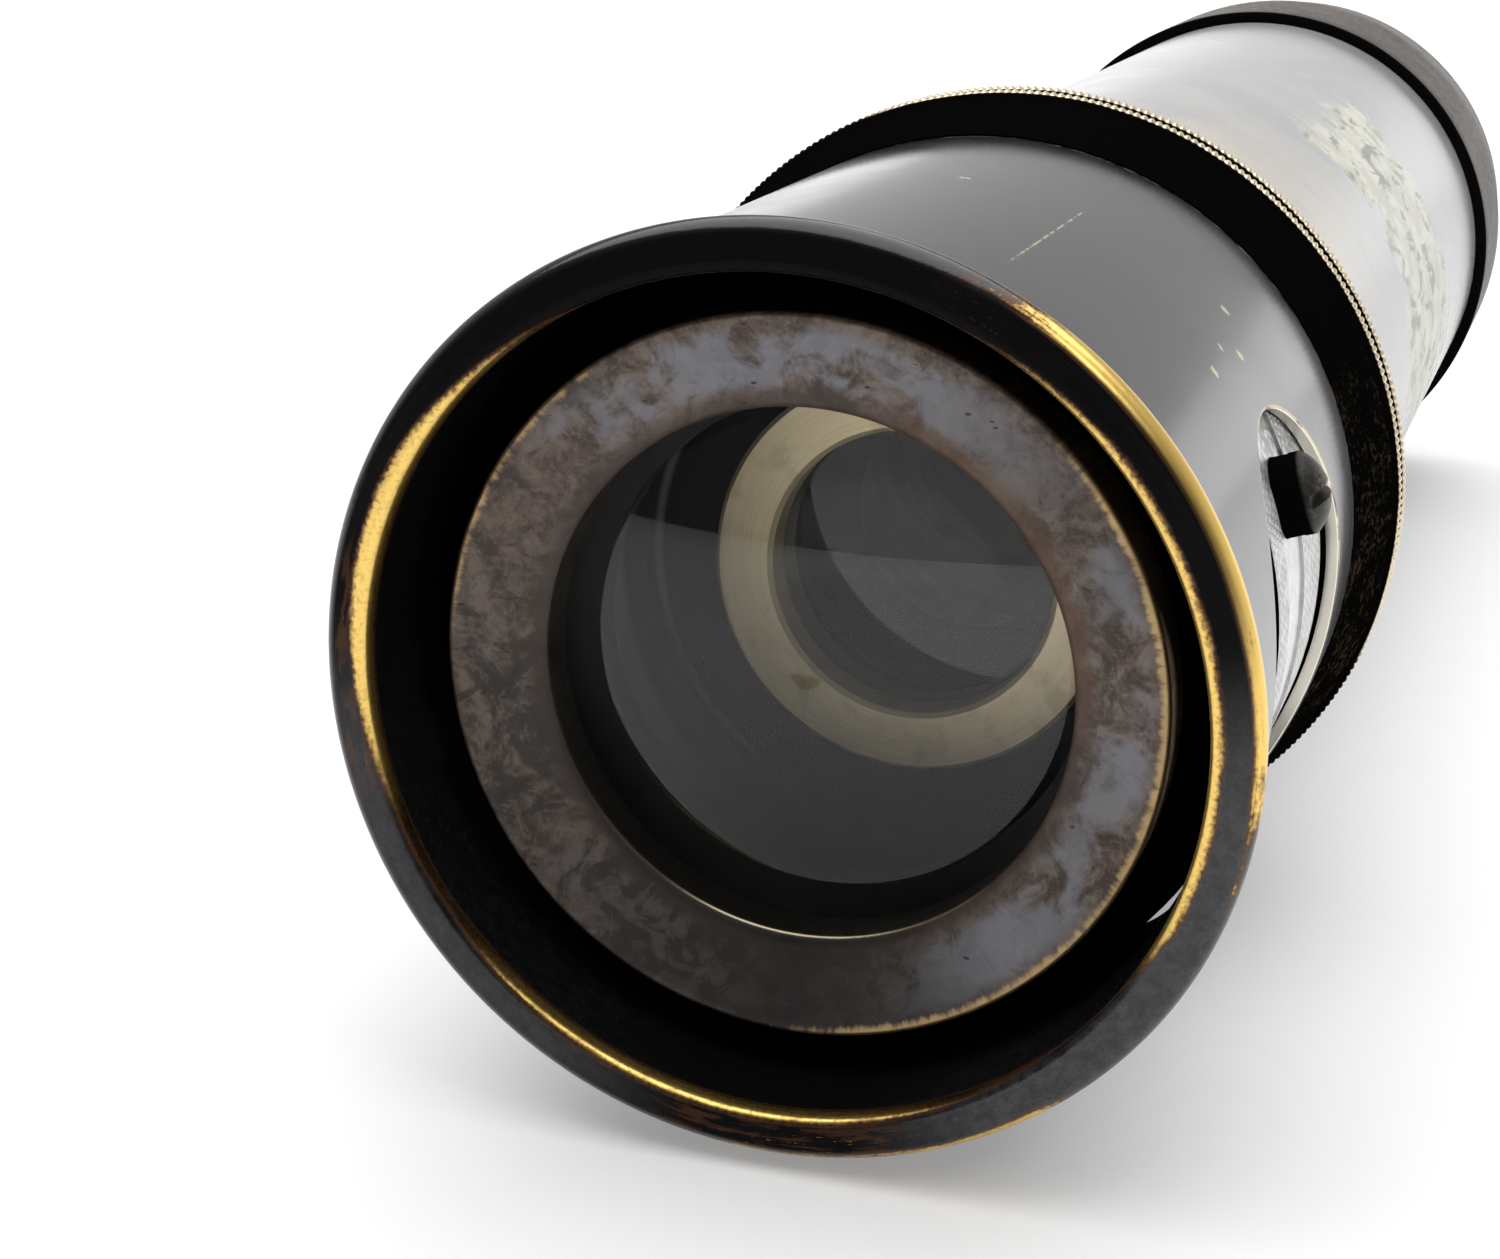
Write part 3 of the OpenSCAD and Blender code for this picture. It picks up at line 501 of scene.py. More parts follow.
def tube_material():
    """Light grey lacquer, rubbed to a warm tone behind the collar and pitted towards the front."""
    g = Shader("body_tube_grey")
    cloud = g.noise(0.06, 4.0, 0.55, 0.5)
    tone = g.mix(g.ramp(cloud, 0.35, 0.7), (0.27, 0.27, 0.278), (0.33, 0.33, 0.335))

    # lacquer rubbed off behind the collar
    wander = g.add(g.at, g.swing(g.noise(0.1, 3.0, 0.6, shift=50.0), 30.0))
    smear = g.mul(g.ramp(wander, 108.0, 60.0), g.side(58, 46, 8))
    smear = g.mul(smear, g.ramp(g.noise(0.16, 3.0, 0.5, 0.4, shift=12.0), 0.15, 0.6))

    # a worn and pitted patch near the far end
    worn = g.mul(g.band(wander, 97.0, 125.0, 5.0), g.side(18, 54, 22))
    flake = g.noise(0.3, 5.0, 0.65, 0.6, shift=40.0)
    worn = g.ramp(g.add(worn, g.swing(flake, 0.9)), 0.42, 0.8)
    speck_place = g.vector(g.mul(g.x, 0.8), g.mul(g.at, 0.3), g.mul(g.z, 0.8))
    speck = g.mul(worn, g.ramp(g.noise(0.6, 4.0, 0.6, 0.4, speck_place, 7.0), 0.5, 0.62))
    pale = g.ramp(g.noise(0.3, 4.0, 0.6, shift=5.0), 0.4, 0.6)
    pale = g.mix(pale, (0.50, 0.49, 0.40), (0.64, 0.63, 0.54))

    bare = g.mul(smear, 0.7)
    color = g.mix(bare, tone, (0.66, 0.60, 0.48))
    color = g.mix(g.mul(worn, 0.85), color, pale)
    color = g.mix(g.mul(speck, 0.8), color, (0.15, 0.15, 0.115))
    grain = g.noise(1.0, 5.0, 0.6, vector=g.stretched(0.2, 5.0))
    rough = g.fade(g.ramp(cloud, 0.3, 0.7), 0.17, 0.22)
    rough = g.fade(g.most(worn, bare), rough, 0.34)
    normal = g.bump(grain, 0.0012)
    normal = g.bump(g.mul(speck, -1.0), 0.02, normal)
    return g.finish(g.surface(color, g.mul(bare, 0.5), rough, normal))


def ferrule_material():
    """Dark brown-grey, bare at its front edge and black at its rear one."""
    g = Shader("ferrule_brown")
    cloud = g.noise(0.18, 5.0, 0.6, 0.5)
    fine = g.noise(1.5, 6.0, 0.7)
    color = g.mix(g.ramp(cloud, 0.35, 0.65), (0.050, 0.041, 0.034), (0.085, 0.070, 0.058))
    color = g.mix(g.mul(g.ramp(g.mul(fine, cloud), 0.3, 0.42), 0.8), color, (0.11, 0.08, 0.055))
    edge_wear = g.mul(g.ramp(g.at, FERRULE_END - 0.9, FERRULE_END - 0.2), g.ramp(fine, 0.38, 0.6))
    color = g.mix(g.mul(edge_wear, 0.8), color, OLD_BRASS)
    rear_edge = g.ramp(g.at, FERRULE_START + 0.3, FERRULE_START + 0.1)
    color = g.mix(rear_edge, color, (0.004, 0.004, 0.004))
    metallic = g.mul(edge_wear, 0.8)
    rough = g.fade(g.ramp(fine, 0.3, 0.7), 0.28, 0.42)
    shine = g.fade(rear_edge, 0.03, 0.0)
    return g.finish(g.surface(color, metallic, rough, g.bump(fine, 0.006), Specular_IOR_Level=shine))


# How far the eye cell's face is kept clear of painted shade, by angle: darker towards the bottom and left
CELL_SHADE = [
    (-180, 0.76), (-150, 0.66), (-125, 0.4), (-90, 0.05), (-68, 0.32), (-45, 1.2), (0, 1.1), (40, 0.8),
    (70, 0.95), (90, 1.1), (120, 0.95), (180, 0.76),
]


def cell_material():
    """Mottled brown patina with blue-grey clouds partly painted as a reflection of the floor, painted shade
    towards the bottom and left, brass showing at the outer edge, and a painted glint on the opening's lower
    edge.
    """
    g = Shader("cell_patina")
    broad = g.noise(0.13, 4.0, 0.6, 0.8, shift=3.0)
    mid = g.noise(0.42, 6.0, 0.68, 0.9, shift=21.0)
    fine = g.noise(2.4, 6.0, 0.7, 0.3)
    spoke = g.noise(1.0, 5.0, 0.62, vector=g.spokes(34.0, 0.35))
    mottle = g.ramp(g.add(mid, g.swing(fine, 0.5)), 0.35, 0.65)
    color = g.mix(mottle, (0.050, 0.030, 0.020), (0.15, 0.108, 0.080))
    # blue-grey clouds at the top, right and lower right: patina, and partly a painted reflection of the floor
    blue_sheen_side = g.most(g.side(95, 60, 10), g.side(5, 40, 5), g.side(-50, 45, 10))
    blue = g.mul(g.ramp(g.add(broad, g.mul(mid, 0.5)), 0.68, 0.86), g.fade(blue_sheen_side, 0.25, 1.0))
    blue = g.mul(blue, g.band(g.radius, 16.6, 20.0, 0.6))
    color = g.mix(g.mul(blue, 0.9), color, (0.185, 0.188, 0.21))
    color = g.mix(g.mul(g.ramp(fine, 0.5, 0.72), 0.4), color, (0.17, 0.13, 0.10))

    # dark blotches at the lower left and a brown zone round the opening
    blot = g.noise(0.36, 5.0, 0.6, 1.4, shift=60.0)
    blot = g.mul(g.ramp(blot, 0.47, 0.57), g.fade(g.side(222, 70, 30), 0.15, 1.0))
    color = g.mix(g.mul(blot, 0.85), color, (0.018, 0.013, 0.011))
    inner = g.ramp(g.add(g.radius, g.swing(mid, 3.0)), 17.2, 15.9)
    rust = g.mix(g.side(35, 50, 15), (0.040, 0.026, 0.019), (0.11, 0.055, 0.03))
    color = g.mix(g.mul(inner, g.fade(g.side(0, 200, 60), 0.85, 0.7)), color, rust)
    # painted shade: the face darkened by angle, most at the bottom
    shade = g.around(CELL_SHADE, 1.2)
    color = g.mix(g.sub(1.0, g.math("MINIMUM", shade, 1.0)), color, (0.008, 0.006, 0.005))

    # a few short dark nicks
    nick_place = g.vector(g.mul(g.x, 0.9), 0.0, g.mul(g.z, 2.2))
    nick = g.ramp(g.dots(0.55, nick_place), 0.12, 0.06)
    nick = g.mul(nick, g.ramp(g.noise(0.3, 3.0, 0.6, shift=5.0), 0.5, 0.56))
    color = g.mix(g.mul(nick, 0.85), color, (0.010, 0.008, 0.007))

    # brass showing in rays at the outer edge
    rim = g.ramp(g.radius, 19.5, 20.8)
    rays = g.add(g.mul(rim, 0.85), g.swing(spoke, g.fade(rim, 0.3, 1.5)))
    brass_side = g.most(g.side(5, 50, 25), g.side(-60, 40, 10), g.mul(g.side(150, 40, 10), 0.7))
    brassy = g.ramp(g.mul(rays, g.fade(brass_side, 0.4, 1.0)), 0.45, 0.8)
    color = g.mix(g.mul(brassy, 0.85), color, (0.46, 0.32, 0.16))

    # a painted glint: bare brass only on the lower edge of the opening, and the opening's black bore
    painted_glint = g.mul(g.band(g.radius, EYE_RADIUS + 0.02, EYE_RADIUS + 0.1, 0.03), g.band(g.at, 5.1, 5.4, 0.05))
    painted_glint = g.mul(painted_glint, g.side(-84, 40, 24))
    color = g.mix(g.mul(painted_glint, 0.6), color, (0.50, 0.42, 0.28))
    bore = g.mul(g.ramp(g.at, 5.4, 5.7), g.ramp(g.radius, EYE_RADIUS + 0.2, EYE_RADIUS + 0.05))
    color = g.mix(bore, color, (0.004, 0.0035, 0.003))

    metallic = g.fade(g.most(brassy, painted_glint), 0.25, 0.95)
    rough = g.fade(g.ramp(mid, 0.3, 0.7), 0.5, 0.36)
    rough = g.fade(painted_glint, rough, 0.22)
    normal = g.bump(mid, 0.03)
    normal = g.bump(g.mul(nick, -1.0), 0.03, normal)
    normal = g.bump(fine, 0.006, normal)
    return g.finish(g.surface(color, metallic, rough, normal))


def brass_ring_material():
    """Bright brass with the fine rings of turning."""
    g = Shader("brushed_brass")
    turned = g.vector(g.mul(g.x, 0.12), g.mul(g.radius, 7.0), g.mul(g.z, 0.12))
    rings = g.noise(1.0, 6.0, 0.7, vector=turned)
    stain = g.noise(0.3, 5.0, 0.65, 0.6, shift=2.0)
    color = g.mix(g.ramp(rings, 0.3, 0.7), (0.92, 0.74, 0.44), (1.0, 0.88, 0.62))
    color = g.mix(g.mul(g.ramp(stain, 0.5, 0.75), 0.35), color, (0.34, 0.27, 0.17))
    return g.finish(g.surface(color, 0.5, 0.42, g.bump(rings, 0.01)))


def black_material(name, tone, rough, shine=0.5, grain=0.004):
    """Black paint or patina, a little uneven in tone and gloss."""
    g = Shader(name)
    cloud = g.noise(0.5, 5.0, 0.65, 0.4)
    fine = g.noise(4.0, 5.0, 0.6)
    color = g.mix(g.ramp(cloud, 0.35, 0.7), tone, tuple(1.8 * c for c in tone))
    gloss = g.fade(g.ramp(cloud, 0.3, 0.7), rough, rough + 0.12)
    return g.finish(g.surface(color, 0.0, gloss, g.bump(fine, grain), Specular_IOR_Level=shine))


def chamber_material():
    """Black inside of the eyepiece, with faint painted highlight rings on its left wall."""
    g = Shader("black_chamber")
    cloud = g.noise(0.4, 4.0, 0.6, 0.4)
    # painted highlights: pale bands on the left wall at set places along the axis
    broad = g.band(g.at, 20.6, 24.0, 0.9)
    narrow = g.mul(g.band(g.radius, 17.0, 17.5, 0.2), g.band(g.at, 27.5, 28.5, 0.1))
    rings = g.mul(g.add(broad, g.mul(narrow, 0.9)), g.mul(g.side(180, 56, 10), g.fade(cloud, 0.7, 1.0)))
    color = g.mix(rings, (0.003, 0.003, 0.003), (0.19, 0.19, 0.195))
    return g.finish(g.surface(color, 0.0, 0.5, Specular_IOR_Level=0.2))


def bare_brass_material():
    """Dull turned brass."""
    g = Shader("bare_brass")
    turned = g.noise(1.0, 5.0, 0.65, vector=g.stretched(0.15, 6.0))
    stain = g.noise(0.35, 5.0, 0.7, 0.5)
    color = g.mix(g.ramp(stain, 0.35, 0.7), (0.40, 0.27, 0.11), (0.20, 0.12, 0.05))
    return g.finish(g.surface(color, 1.0, g.fade(turned, 0.3, 0.45), g.bump(turned, 0.01)))


def ring_material():
    """Grey metal with two bands of diamond knurl and a smooth waist."""
    g = Shader("focus_ring_knurl")

    # two bands of knurl, cut by lines that lean both ways, with a dark joint beside each
    teeth, lean = 250, 5.2
    left = g.math("SINE", g.add(g.mul(g.turn, teeth), g.mul(g.at, lean)))
    right = g.math("SINE", g.sub(g.mul(g.turn, teeth), g.mul(g.at, lean)))
    diamonds = g.ramp(g.math("MINIMUM", left, right), -0.9, 0.5)
    knurl = g.most(g.band(g.at, 19.5, 22.8, 0.08), g.band(g.at, 29.3, 36.0, 0.08))
    grime = g.noise(0.9, 6.0, 0.7, 0.5)
    color = g.mix(g.ramp(grime, 0.4, 0.75), (0.78, 0.78, 0.79), (0.56, 0.55, 0.53))
    cut = g.mul(knurl, g.sub(1.0, diamonds))
    color = g.mix(g.mul(cut, g.fade(g.ramp(grime, 0.35, 0.6), 0.15, 0.5)), color, (0.20, 0.198, 0.19))
    joint = g.most(g.band(g.at, 22.9, 23.05, 0.05), g.band(g.at, 29.05, 29.2, 0.05))
    color = g.mix(g.mul(joint, 0.3), color, (0.10, 0.10, 0.10))

    # a blue-grey stain at the upper end of the window
    blotch = g.mul(g.side(27, 8, 4), g.ramp(g.noise(0.8, 5.0, 0.6, 0.8, shift=3.0), 0.42, 0.56))
    color = g.mix(g.mul(blotch, 0.75), color, (0.20, 0.21, 0.24))
    normal = g.bump(g.mul(knurl, diamonds), 0.07)
    normal = g.bump(grime, 0.008, normal)
    return g.finish(g.surface(color, 0.6, g.fade(knurl, 0.32, 0.42), normal))


def screw_material():
    """Blackened steel, worn on top of the head, and painted black without reflection below the head as shade.
    """
    g = Shader("screw_black")
    grime = g.noise(1.3, 6.0, 0.7, 0.5)
    fine = g.noise(5.0, 5.0, 0.7)
    # painted shade: below the head, down in the window, the screw is black without reflection
    head = g.ramp(g.radius, 25.6, 26.0)
    dark = g.mix(g.ramp(grime, 0.4, 0.65), (0.012, 0.011, 0.009), (0.045, 0.039, 0.031))
    color = g.mix(head, (0.0025, 0.0025, 0.0025), dark)
    top = g.ramp(g.radius, 26.2, 26.9)
    color = g.mix(g.mul(top, g.ramp(fine, 0.45, 0.65)), color, (0.17, 0.145, 0.11))
    metallic = g.mul(head, 0.4)
    rough = g.fade(fine, 0.32, 0.5)
    shine = g.fade(head, 0.0, 0.35)
    return g.finish(g.surface(color, metallic, rough, g.bump(grime, 0.05), Specular_IOR_Level=shine))


def foil_material():
    """Thin creased tin foil."""
    g = Shader("spacer_foil")
    crease = g.noise(2.0, 4.0, 0.6)
    return g.finish(g.surface((0.6, 0.6, 0.58), 1.0, 0.35, g.bump(crease, 0.01)))


def glass_material(name, tint, film_depth, inner_share):
    """Polished glass. Rays pass straight through, and each face reflects by its angle.

    inner_share is how much of the reflection is kept where a ray meets a face from inside.
    """
    g = Shader(name)
    from_inside = g.node("ShaderNodeNewGeometry").outputs["Backfacing"]
    index = g.fade(from_inside, GLASS_INDEX, 1 / GLASS_INDEX)
    fresnel = g.node("ShaderNodeFresnel", {"IOR": index}).outputs[0]
    mirrored = g.mul(fresnel, g.fade(from_inside, 1.0, inner_share))
    clear = g.node("ShaderNodeBsdfTransparent", {"Color": (*tint, 1.0)}).outputs[0]
    gloss = g.node("ShaderNodeBsdfGlossy", {"Roughness": 0.0}).outputs[0]
    shine = g.node("ShaderNodeMixShader", {0: mirrored, 1: clear, 2: gloss}).outputs[0]
    dust = g.node("ShaderNodeBsdfDiffuse", {"Color": (0.6, 0.6, 0.62, 1.0)}).outputs[0]
    specks = g.mul(g.ramp(g.dots(0.35), 0.06, 0.03), g.ramp(g.noise(0.4, 2.0, 0.5, shift=8.0), 0.5, 0.6))
    film = g.add(g.mul(g.noise(0.12, 1.0, 0.4), film_depth), g.mul(specks, 0.1))
    return g.finish(g.node("ShaderNodeMixShader", {0: film, 1: shine, 2: dust}).outputs[0])


materials = {
    "rim": rim_material(),
    "sleeve": sleeve_material(),
    "collar": collar_material(),
    "tube": tube_material(),
    "ferrule": ferrule_material(),
    "cell": cell_material(),
    "brushed": brass_ring_material(),
    "inside": black_material("black_inside", (0.003, 0.003, 0.003), 0.45, 0.2, 0.001),
    "chamber": chamber_material(),
    "well": black_material("black_well", (0.0008, 0.0008, 0.0008), 0.5, 0.0),
    "blackened": black_material("blackened_brass", (0.006, 0.0055, 0.005), 0.4),
    "bare": bare_brass_material(),
    "ring": ring_material(),
    "screw": screw_material(),
    "foil": foil_material(),
    "eye_glass": glass_material("eye_lens_glass", (0.97, 0.97, 0.965), 0.001, 0.0),
    # the field lens: tinted dark as painted shade over what lies behind it, and reflecting from inside more
    # than glass does, a painted reflection
    "shaded_field_glass": glass_material("field_lens_glass_shaded", (0.42, 0.42, 0.41), 0.004, 2.4),
    "glass": glass_material("lens_glass", (0.95, 0.955, 0.95), 0.004, 1.0),
}


# Finer pieces


def rim_profile():
    """The rolled rim: its bore, inner lip, crest, outer edge and the spigot inside the sleeve."""
    end, spigot = 6.4, SLEEVE_BORE + 0.01
    lip, roll, edge = 0.6, 1.1, 0.3
    outline = [(end, LIP_RADIUS)] + line((end, LIP_RADIUS), (-lip, LIP_RADIUS), 8)
    outline += arc(-lip, LIP_RADIUS + lip, lip, 270, 174, 14)[1:]
    outline += [(-1.15, 24.7), (-1.08, 25.1), (-0.99, 25.5)]
    outline += arc(0.08, 25.4, roll, 165, 48, 26)
    outline += line(outline[-1], (3.0, 25.52), 4)
    outline += arc(3.08, 25.2, edge, 90, 0, 5)
    return outline + [(SLEEVE_START, spigot), (end, spigot)]


def collar_profile():
    """The sloping shoulder, two beads and the sleeve on the body tube."""
    start, shoulder_foot, shoulder_top, neck, edge = 44.7, 25.32, 27.0, 26.6, 0.3
    seat, bore, step = SLEEVE_RADIUS + 0.01, TUBE_RADIUS + GAP, SLEEVE_BORE + GAP
    outline = [(start, seat), (start, shoulder_foot)]
    outline += line((start, shoulder_foot), (BEADS_START, shoulder_top), 12)
    for k in range(2):
        middle = BEADS_START + (2 * k + 1) * BEAD
        outline += arc(middle, COLLAR_RADIUS - BEAD, BEAD, 146, 34, 14)
    outline += [(BEADS_END, 26.95), (BEADS_END + 0.02, neck)]
    outline += line((BEADS_END + 0.02, neck), (COLLAR_END - edge, neck), 2)
    outline += arc(COLLAR_END - edge, neck - edge, edge, 90, 0, 4)[1:]
    outline += [(COLLAR_END, bore), (TUBE_START + GAP, bore), (TUBE_START + GAP, step)]
    return outline + [(SLEEVE_END + GAP, step), (SLEEVE_END + GAP, seat)]


def knurled(at, radius, turn):
    """Cuts the teeth into the beads of the collar. The second bead's are half a tooth further round."""
    root, run_out, inset, sharpness = 26.8, 0.3, 0.05, 0.7
    if not BEADS_START + inset < at < BEADS_END - inset or radius < root:
        return radius
    row = 0.5 if at > BEADS_START + 2 * BEAD else 0.0
    wave = 0.5 - 0.5 * math.cos(TEETH * turn + 2 * math.pi * row)
    lift = min(1.0, (radius - root) / run_out)
    return radius - TEETH_DEPTH * lift * (1 - wave ** sharpness)


def ferrule_profile():
    """The ferrule: a straight part, a taper for a cap, and the recess before the front lens."""
    bore, recess, outside, edge = TUBE_RADIUS + GAP, 22.6, 24.6, 0.3
    taper_start, taper_foot = 173.8, 23.62
    front = FERRULE_END - edge
    outline = [(FERRULE_START, bore), (FERRULE_START, outside - edge)]
    outline += arc(FERRULE_START + edge, outside - edge, edge, 180, 90, 5)[1:]
    outline += line((FERRULE_START + edge, outside), (taper_start, outside), 6)
    outline += line((taper_start, outside), (front, taper_foot), 8)
    outline += arc(front, 23.3, edge, 90, 0, 5)[1:]
    outline += [(FERRULE_END, recess + edge)] + arc(front, recess + edge, edge, 0, -90, 5)[1:]
    outline += line((front, recess), (TUBE_END + GAP, recess), 6)
    return outline + [(TUBE_END + GAP, 23.18), (TUBE_END - edge, bore)]


def cell_profile():
    """The dished face, the opening's edge, the lens pocket and the spigot in the lens tube."""
    face, flange_end, pocket_start, end = 4.0, 7.0, 8.0, 15.0
    outside, spigot, pocket, edge = 20.9, 19.4, 17.55, 0.3
    outline = [(flange_end, outside)] + line((flange_end, outside), (face, outside), 3)
    outline += arc(face, outside - edge, edge, 90, 180, 5)[1:]
    outline += line((face - edge, outside - edge), (5.05, 15.75), 14)
    outline += [(5.2, EYE_RADIUS + 0.1), (5.32, EYE_RADIUS), (pocket_start, EYE_RADIUS)]
    return outline + [(pocket_start, pocket), (end, pocket), (end, spigot), (flange_end, spigot)]


def tube_profile():
    """The body tube, from inside the collar to inside the ferrule."""
    under_collar, edge = TUBE_RADIUS - GAP, 0.3
    outline = [(TUBE_START, TUBE_BORE), (TUBE_START, under_collar)]
    outline += line((TUBE_START, under_collar), (COLLAR_END, under_collar), 2)
    outline += line((COLLAR_END, TUBE_RADIUS), (FERRULE_START, TUBE_RADIUS), 20)
    outline += [(TUBE_END - edge, TUBE_RADIUS), (TUBE_END, TUBE_RADIUS - edge)]
    return outline + [(TUBE_END, TUBE_BORE)]


def sleeve_with_window():
    """The sleeve, with the thumb window's edge broken by a narrow chamfer."""
    chamfer = 0.14
    round_steps, straight_steps, plain_steps, rows = 40, 12, 260, 10
    curves = {
        "skin": (SLEEVE_RADIUS, WINDOW_HALF + chamfer),
        "brow": (SLEEVE_RADIUS - chamfer, WINDOW_HALF),
        "bore": (SLEEVE_BORE, WINDOW_HALF),
    }

    def edge_of(radius, reach):
        """Angle and half width of the window at each step from its upper end to its lower one."""
        steps = []
        for i in range(round_steps + 1):
            turn = math.pi / 2 * (1 - i / round_steps)
            steps.append((WINDOW_TOP + math.asin(reach * math.sin(turn) / radius), reach * math.cos(turn)))
        for i in range(1, straight_steps):
            steps.append((WINDOW_TOP + (WINDOW_LOW - WINDOW_TOP) * i / straight_steps, reach))
        for i in range(round_steps + 1):
            turn = math.pi / 2 * i / round_steps
            steps.append((WINDOW_LOW - math.asin(reach * math.sin(turn) / radius), reach * math.cos(turn)))
        return steps

    edges = {name: edge_of(*curve) for name, curve in curves.items()}

    def columns_of(name):
        """The window's steps, and then plain ones with no width on round the sleeve."""
        start, end = edges[name][-1][0], edges[name][0][0] - 2 * math.pi
        plain = [(start + (end - start) * i / plain_steps, 0.0) for i in range(1, plain_steps + 1)]
        return edges[name] + plain

    points, faces = [], []

    def vertex(radius, at, turn):
        points.append((radius * math.cos(turn), at, radius * math.sin(turn)))
        return len(points) - 1

    def strip(first, second):
        for a in range(len(first) - 1):
            faces.append([first[a], first[a + 1], second[a + 1], second[a]])

    for name in ("skin", "bore"):
        radius = curves[name][0]
        for limit, way in ((SLEEVE_START, -1), (SLEEVE_END, 1)):
            before = None
            for turn, half in columns_of(name):
                near = WINDOW_MIDDLE + way * half
                column = [vertex(radius, near + (limit - near) * k / rows, turn) for k in range(rows + 1)]
                if before:
                    strip(before, column)
                before = column
    for way in (-1, 1):
        rims = []
        for name in ("skin", "brow", "bore"):
            radius = curves[name][0]
            rims.append([vertex(radius, WINDOW_MIDDLE + way * half, turn) for turn, half in edges[name]])
        strip(rims[0], rims[1])
        strip(rims[1], rims[2])
    for limit in (SLEEVE_START, SLEEVE_END):
        rings = []
        for name in ("skin", "bore"):
            rings.append([vertex(curves[name][0], limit, turn) for turn, _ in columns_of(name)])
        strip(rings[0], rings[1])
    return make_object("eyepiece_sleeve_skin", points, faces, 30)


rim = lathe("eye_rim_skin", rim_profile(), RIM_SEGMENTS)
sleeve = sleeve_with_window()
collar = lathe("knurled_collar_skin", collar_profile(), 8 * TEETH, knurled, 50)
ferrule = lathe("objective_ferrule_skin", ferrule_profile(), SEGMENTS)
cell = lathe("eye_cell_skin", cell_profile(), SEGMENTS)
tube = lathe("body_tube_skin", tube_profile(), SEGMENTS)
stand_in(rim, "eye_rim", "telescope", materials["rim"])
stand_in(sleeve, "eyepiece_sleeve", "telescope", materials["sleeve"])
stand_in(collar, "knurled_collar", "telescope", materials["collar"])
stand_in(ferrule, "objective_ferrule", "telescope", materials["ferrule"])
stand_in(cell, "eye_cell", "lens_tube", materials["cell"])
stand_in(tube, "body_tube", "telescope", materials["tube"])


# Materials of the nodes that are shown as they are
NODE_MATERIALS = {
    "guide_tube": "well",
    "ring_keeper": "well",
    "glare_stop": "inside",
    "erector_tube": "inside",
    "erector_rear_carrier": "bare",
    "erector_front_carrier": "bare",
    "erector_rear_lens": "glass",
    "erector_front_lens": "glass",
    "erector_rear_retainer": "bare",
    "erector_front_retainer": "bare",
    "erector_stop": "inside",
    "objective_cell": "blackened",
    "objective_flint": "glass",
    "objective_spacer": "foil",
    "objective_crown": "glass",
    "objective_retainer": "blackened",
    "focus_ring": "ring",
    "drive_screw": "screw",
    "lens_tube": "well",
    "eye_lens": "eye_glass",
    "eye_lens_retainer": "chamber",
    "lens_chamber": "chamber",
    "field_lens_cell": "chamber",
    "brass_ring": "brushed",
    "field_lens": "shaded_field_glass",
    "field_stop": "inside",
    "guide_key": "bare",
}
for name, key in NODE_MATERIALS.items():
    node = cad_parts[name]
    node.data.materials.clear()
    node.data.materials.append(materials[key])


# Stage, light and camera


def white_floor():
    """A wide pale floor just under the collar. Its own white keeps the object's shadow faint."""
    # in metres
    half = 1.5
    mesh = bpy.data.meshes.new("floor")
    corners = [(-half, -half), (half, -half), (half, half), (-half, half)]
    mesh.from_pydata([(x, y, -COLLAR_RADIUS * MM) for x, y in corners], [], [(0, 1, 2, 3)])
    floor = bpy.data.objects.new("floor", mesh)
    bpy.context.scene.collection.objects.link(floor)
    material = bpy.data.materials.new("floor_white")
    material.use_nodes = True
    g = Nodes(material.node_tree)
    paint = g.node("ShaderNodeBsdfDiffuse", {"Color": (0.93, 0.93, 0.93, 1.0)}).outputs[0]
    white = g.node("ShaderNodeEmission", {"Strength": 1.0}).outputs[0]
    rays = g.node("ShaderNodeLightPath").outputs
    seen = g.most(rays["Is Camera Ray"], rays["Is Glossy Ray"], rays["Is Transmission Ray"])
    both = g.node("ShaderNodeMixShader", {0: g.mul(seen, FLOOR_WHITE), 1: paint, 2: white}).outputs[0]
    g.node("ShaderNodeOutputMaterial", {"Surface": both})
    mesh.materials.append(material)


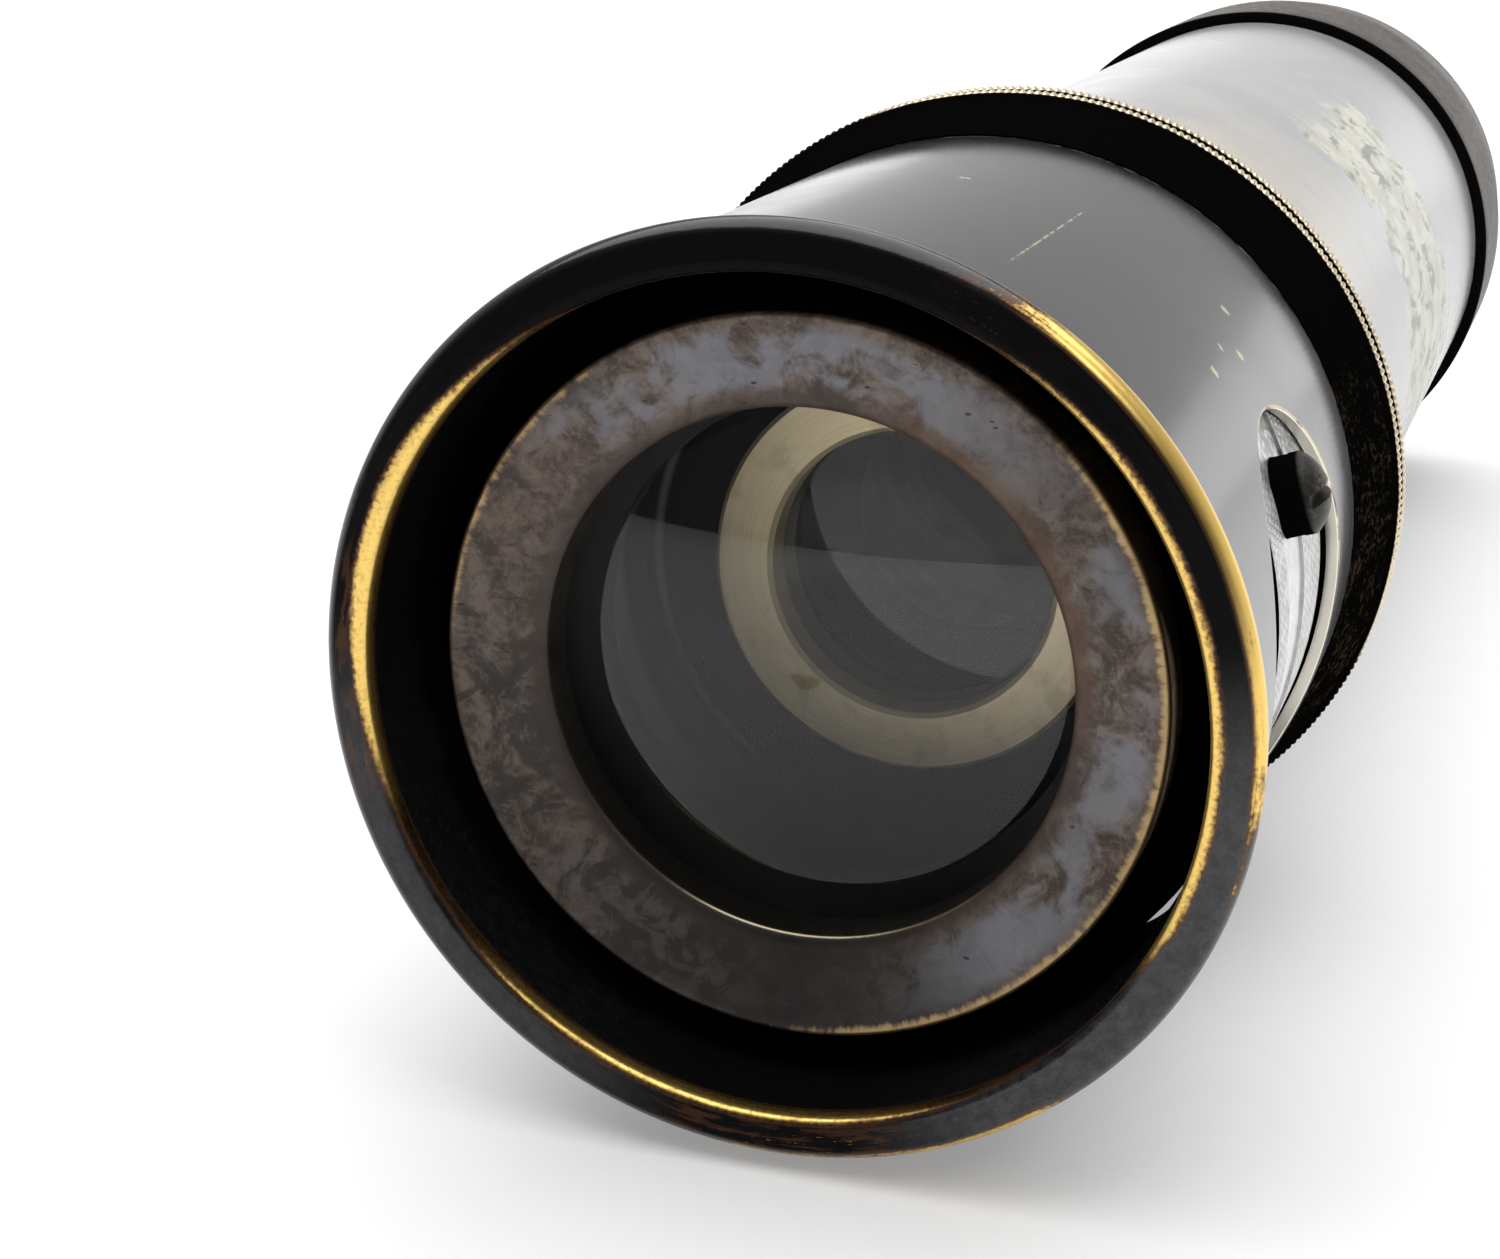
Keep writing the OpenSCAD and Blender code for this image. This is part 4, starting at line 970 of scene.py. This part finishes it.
def room():
    """A white backdrop for the camera, and a studio with dark and bright parts for the metal."""
    world = bpy.data.worlds.new("room")
    bpy.context.scene.world = world
    world.use_nodes = True
    g = Nodes(world.node_tree)
    way = g.node("ShaderNodeTexCoord").outputs["Generated"]
    _, forward, height = g.node("ShaderNodeSeparateXYZ", {0: way}).outputs
    # level by height, of the backdrop ahead and of the darker room behind the camera
    bright = [
        (0.0, 1.0), (0.12, 1.0), (0.24, 0.9), (0.36, 0.8), (0.5, 0.6), (0.65, 0.5), (0.85, 0.9), (1.0, 1.0),
    ]
    dim = [(0.0, 0.2), (0.35, 0.14), (0.6, 0.25), (0.85, 0.5), (1.0, 0.8)]
    level = g.fade(g.ramp(forward, -0.4, 0.25), g.curve(height, dim), g.curve(height, bright))
    seen = g.node("ShaderNodeLightPath").outputs["Is Camera Ray"]
    light = g.node("ShaderNodeBackground", {"Strength": g.most(level, seen)}).outputs[0]
    g.node("ShaderNodeOutputWorld", {"Surface": light})


def softbox(name, place, target, width, height, watts):
    """A flat lamp at a place, turned to its target. Sizes here are metres."""
    lamp = bpy.data.lights.new(name, "AREA")
    lamp.shape = "RECTANGLE"
    lamp.size, lamp.size_y = width, height
    lamp.energy = watts
    made = bpy.data.objects.new(name, lamp)
    made.location = place
    made.rotation_euler = (Vector(target) - Vector(place)).to_track_quat("-Z", "Y").to_euler()
    bpy.context.scene.collection.objects.link(made)


def camera():
    """The camera that the photo's ellipses were fitted with."""
    place = Vector((43.87, -129.98 - AXIS_MID, 47.68)) * MM
    right = Vector((0.9447, 0.328, 0.0)).normalized()
    ahead = Vector((-0.3128, 0.901, -0.3006)).normalized()
    up = right.cross(ahead).normalized()
    lens = bpy.data.cameras.new("camera")
    lens.lens = 64.8
    lens.sensor_width = 36.0
    lens.clip_start = MM
    made = bpy.data.objects.new("camera", lens)
    turned = Matrix((right, up, -ahead)).transposed().to_4x4()
    made.matrix_world = Matrix.Translation(place) @ turned
    bpy.context.scene.collection.objects.link(made)
    bpy.context.scene.camera = made


white_floor()
room()
softbox("sky", (-0.1, 0.12, 0.95), (0.0, 0.05, 0.0), 1.7, 1.5, 17.0)
softbox("wall", (0.12, 1.3, 0.06), (0.0, 0.0, 0.0), 2.4, 0.22, 1.1)
softbox("key", (0.43, -0.43, 0.57), (0.0, -0.09, 0.0), 0.16, 0.16, 0.45)
camera()
bpy.context.scene.view_settings.view_transform = "Standard"
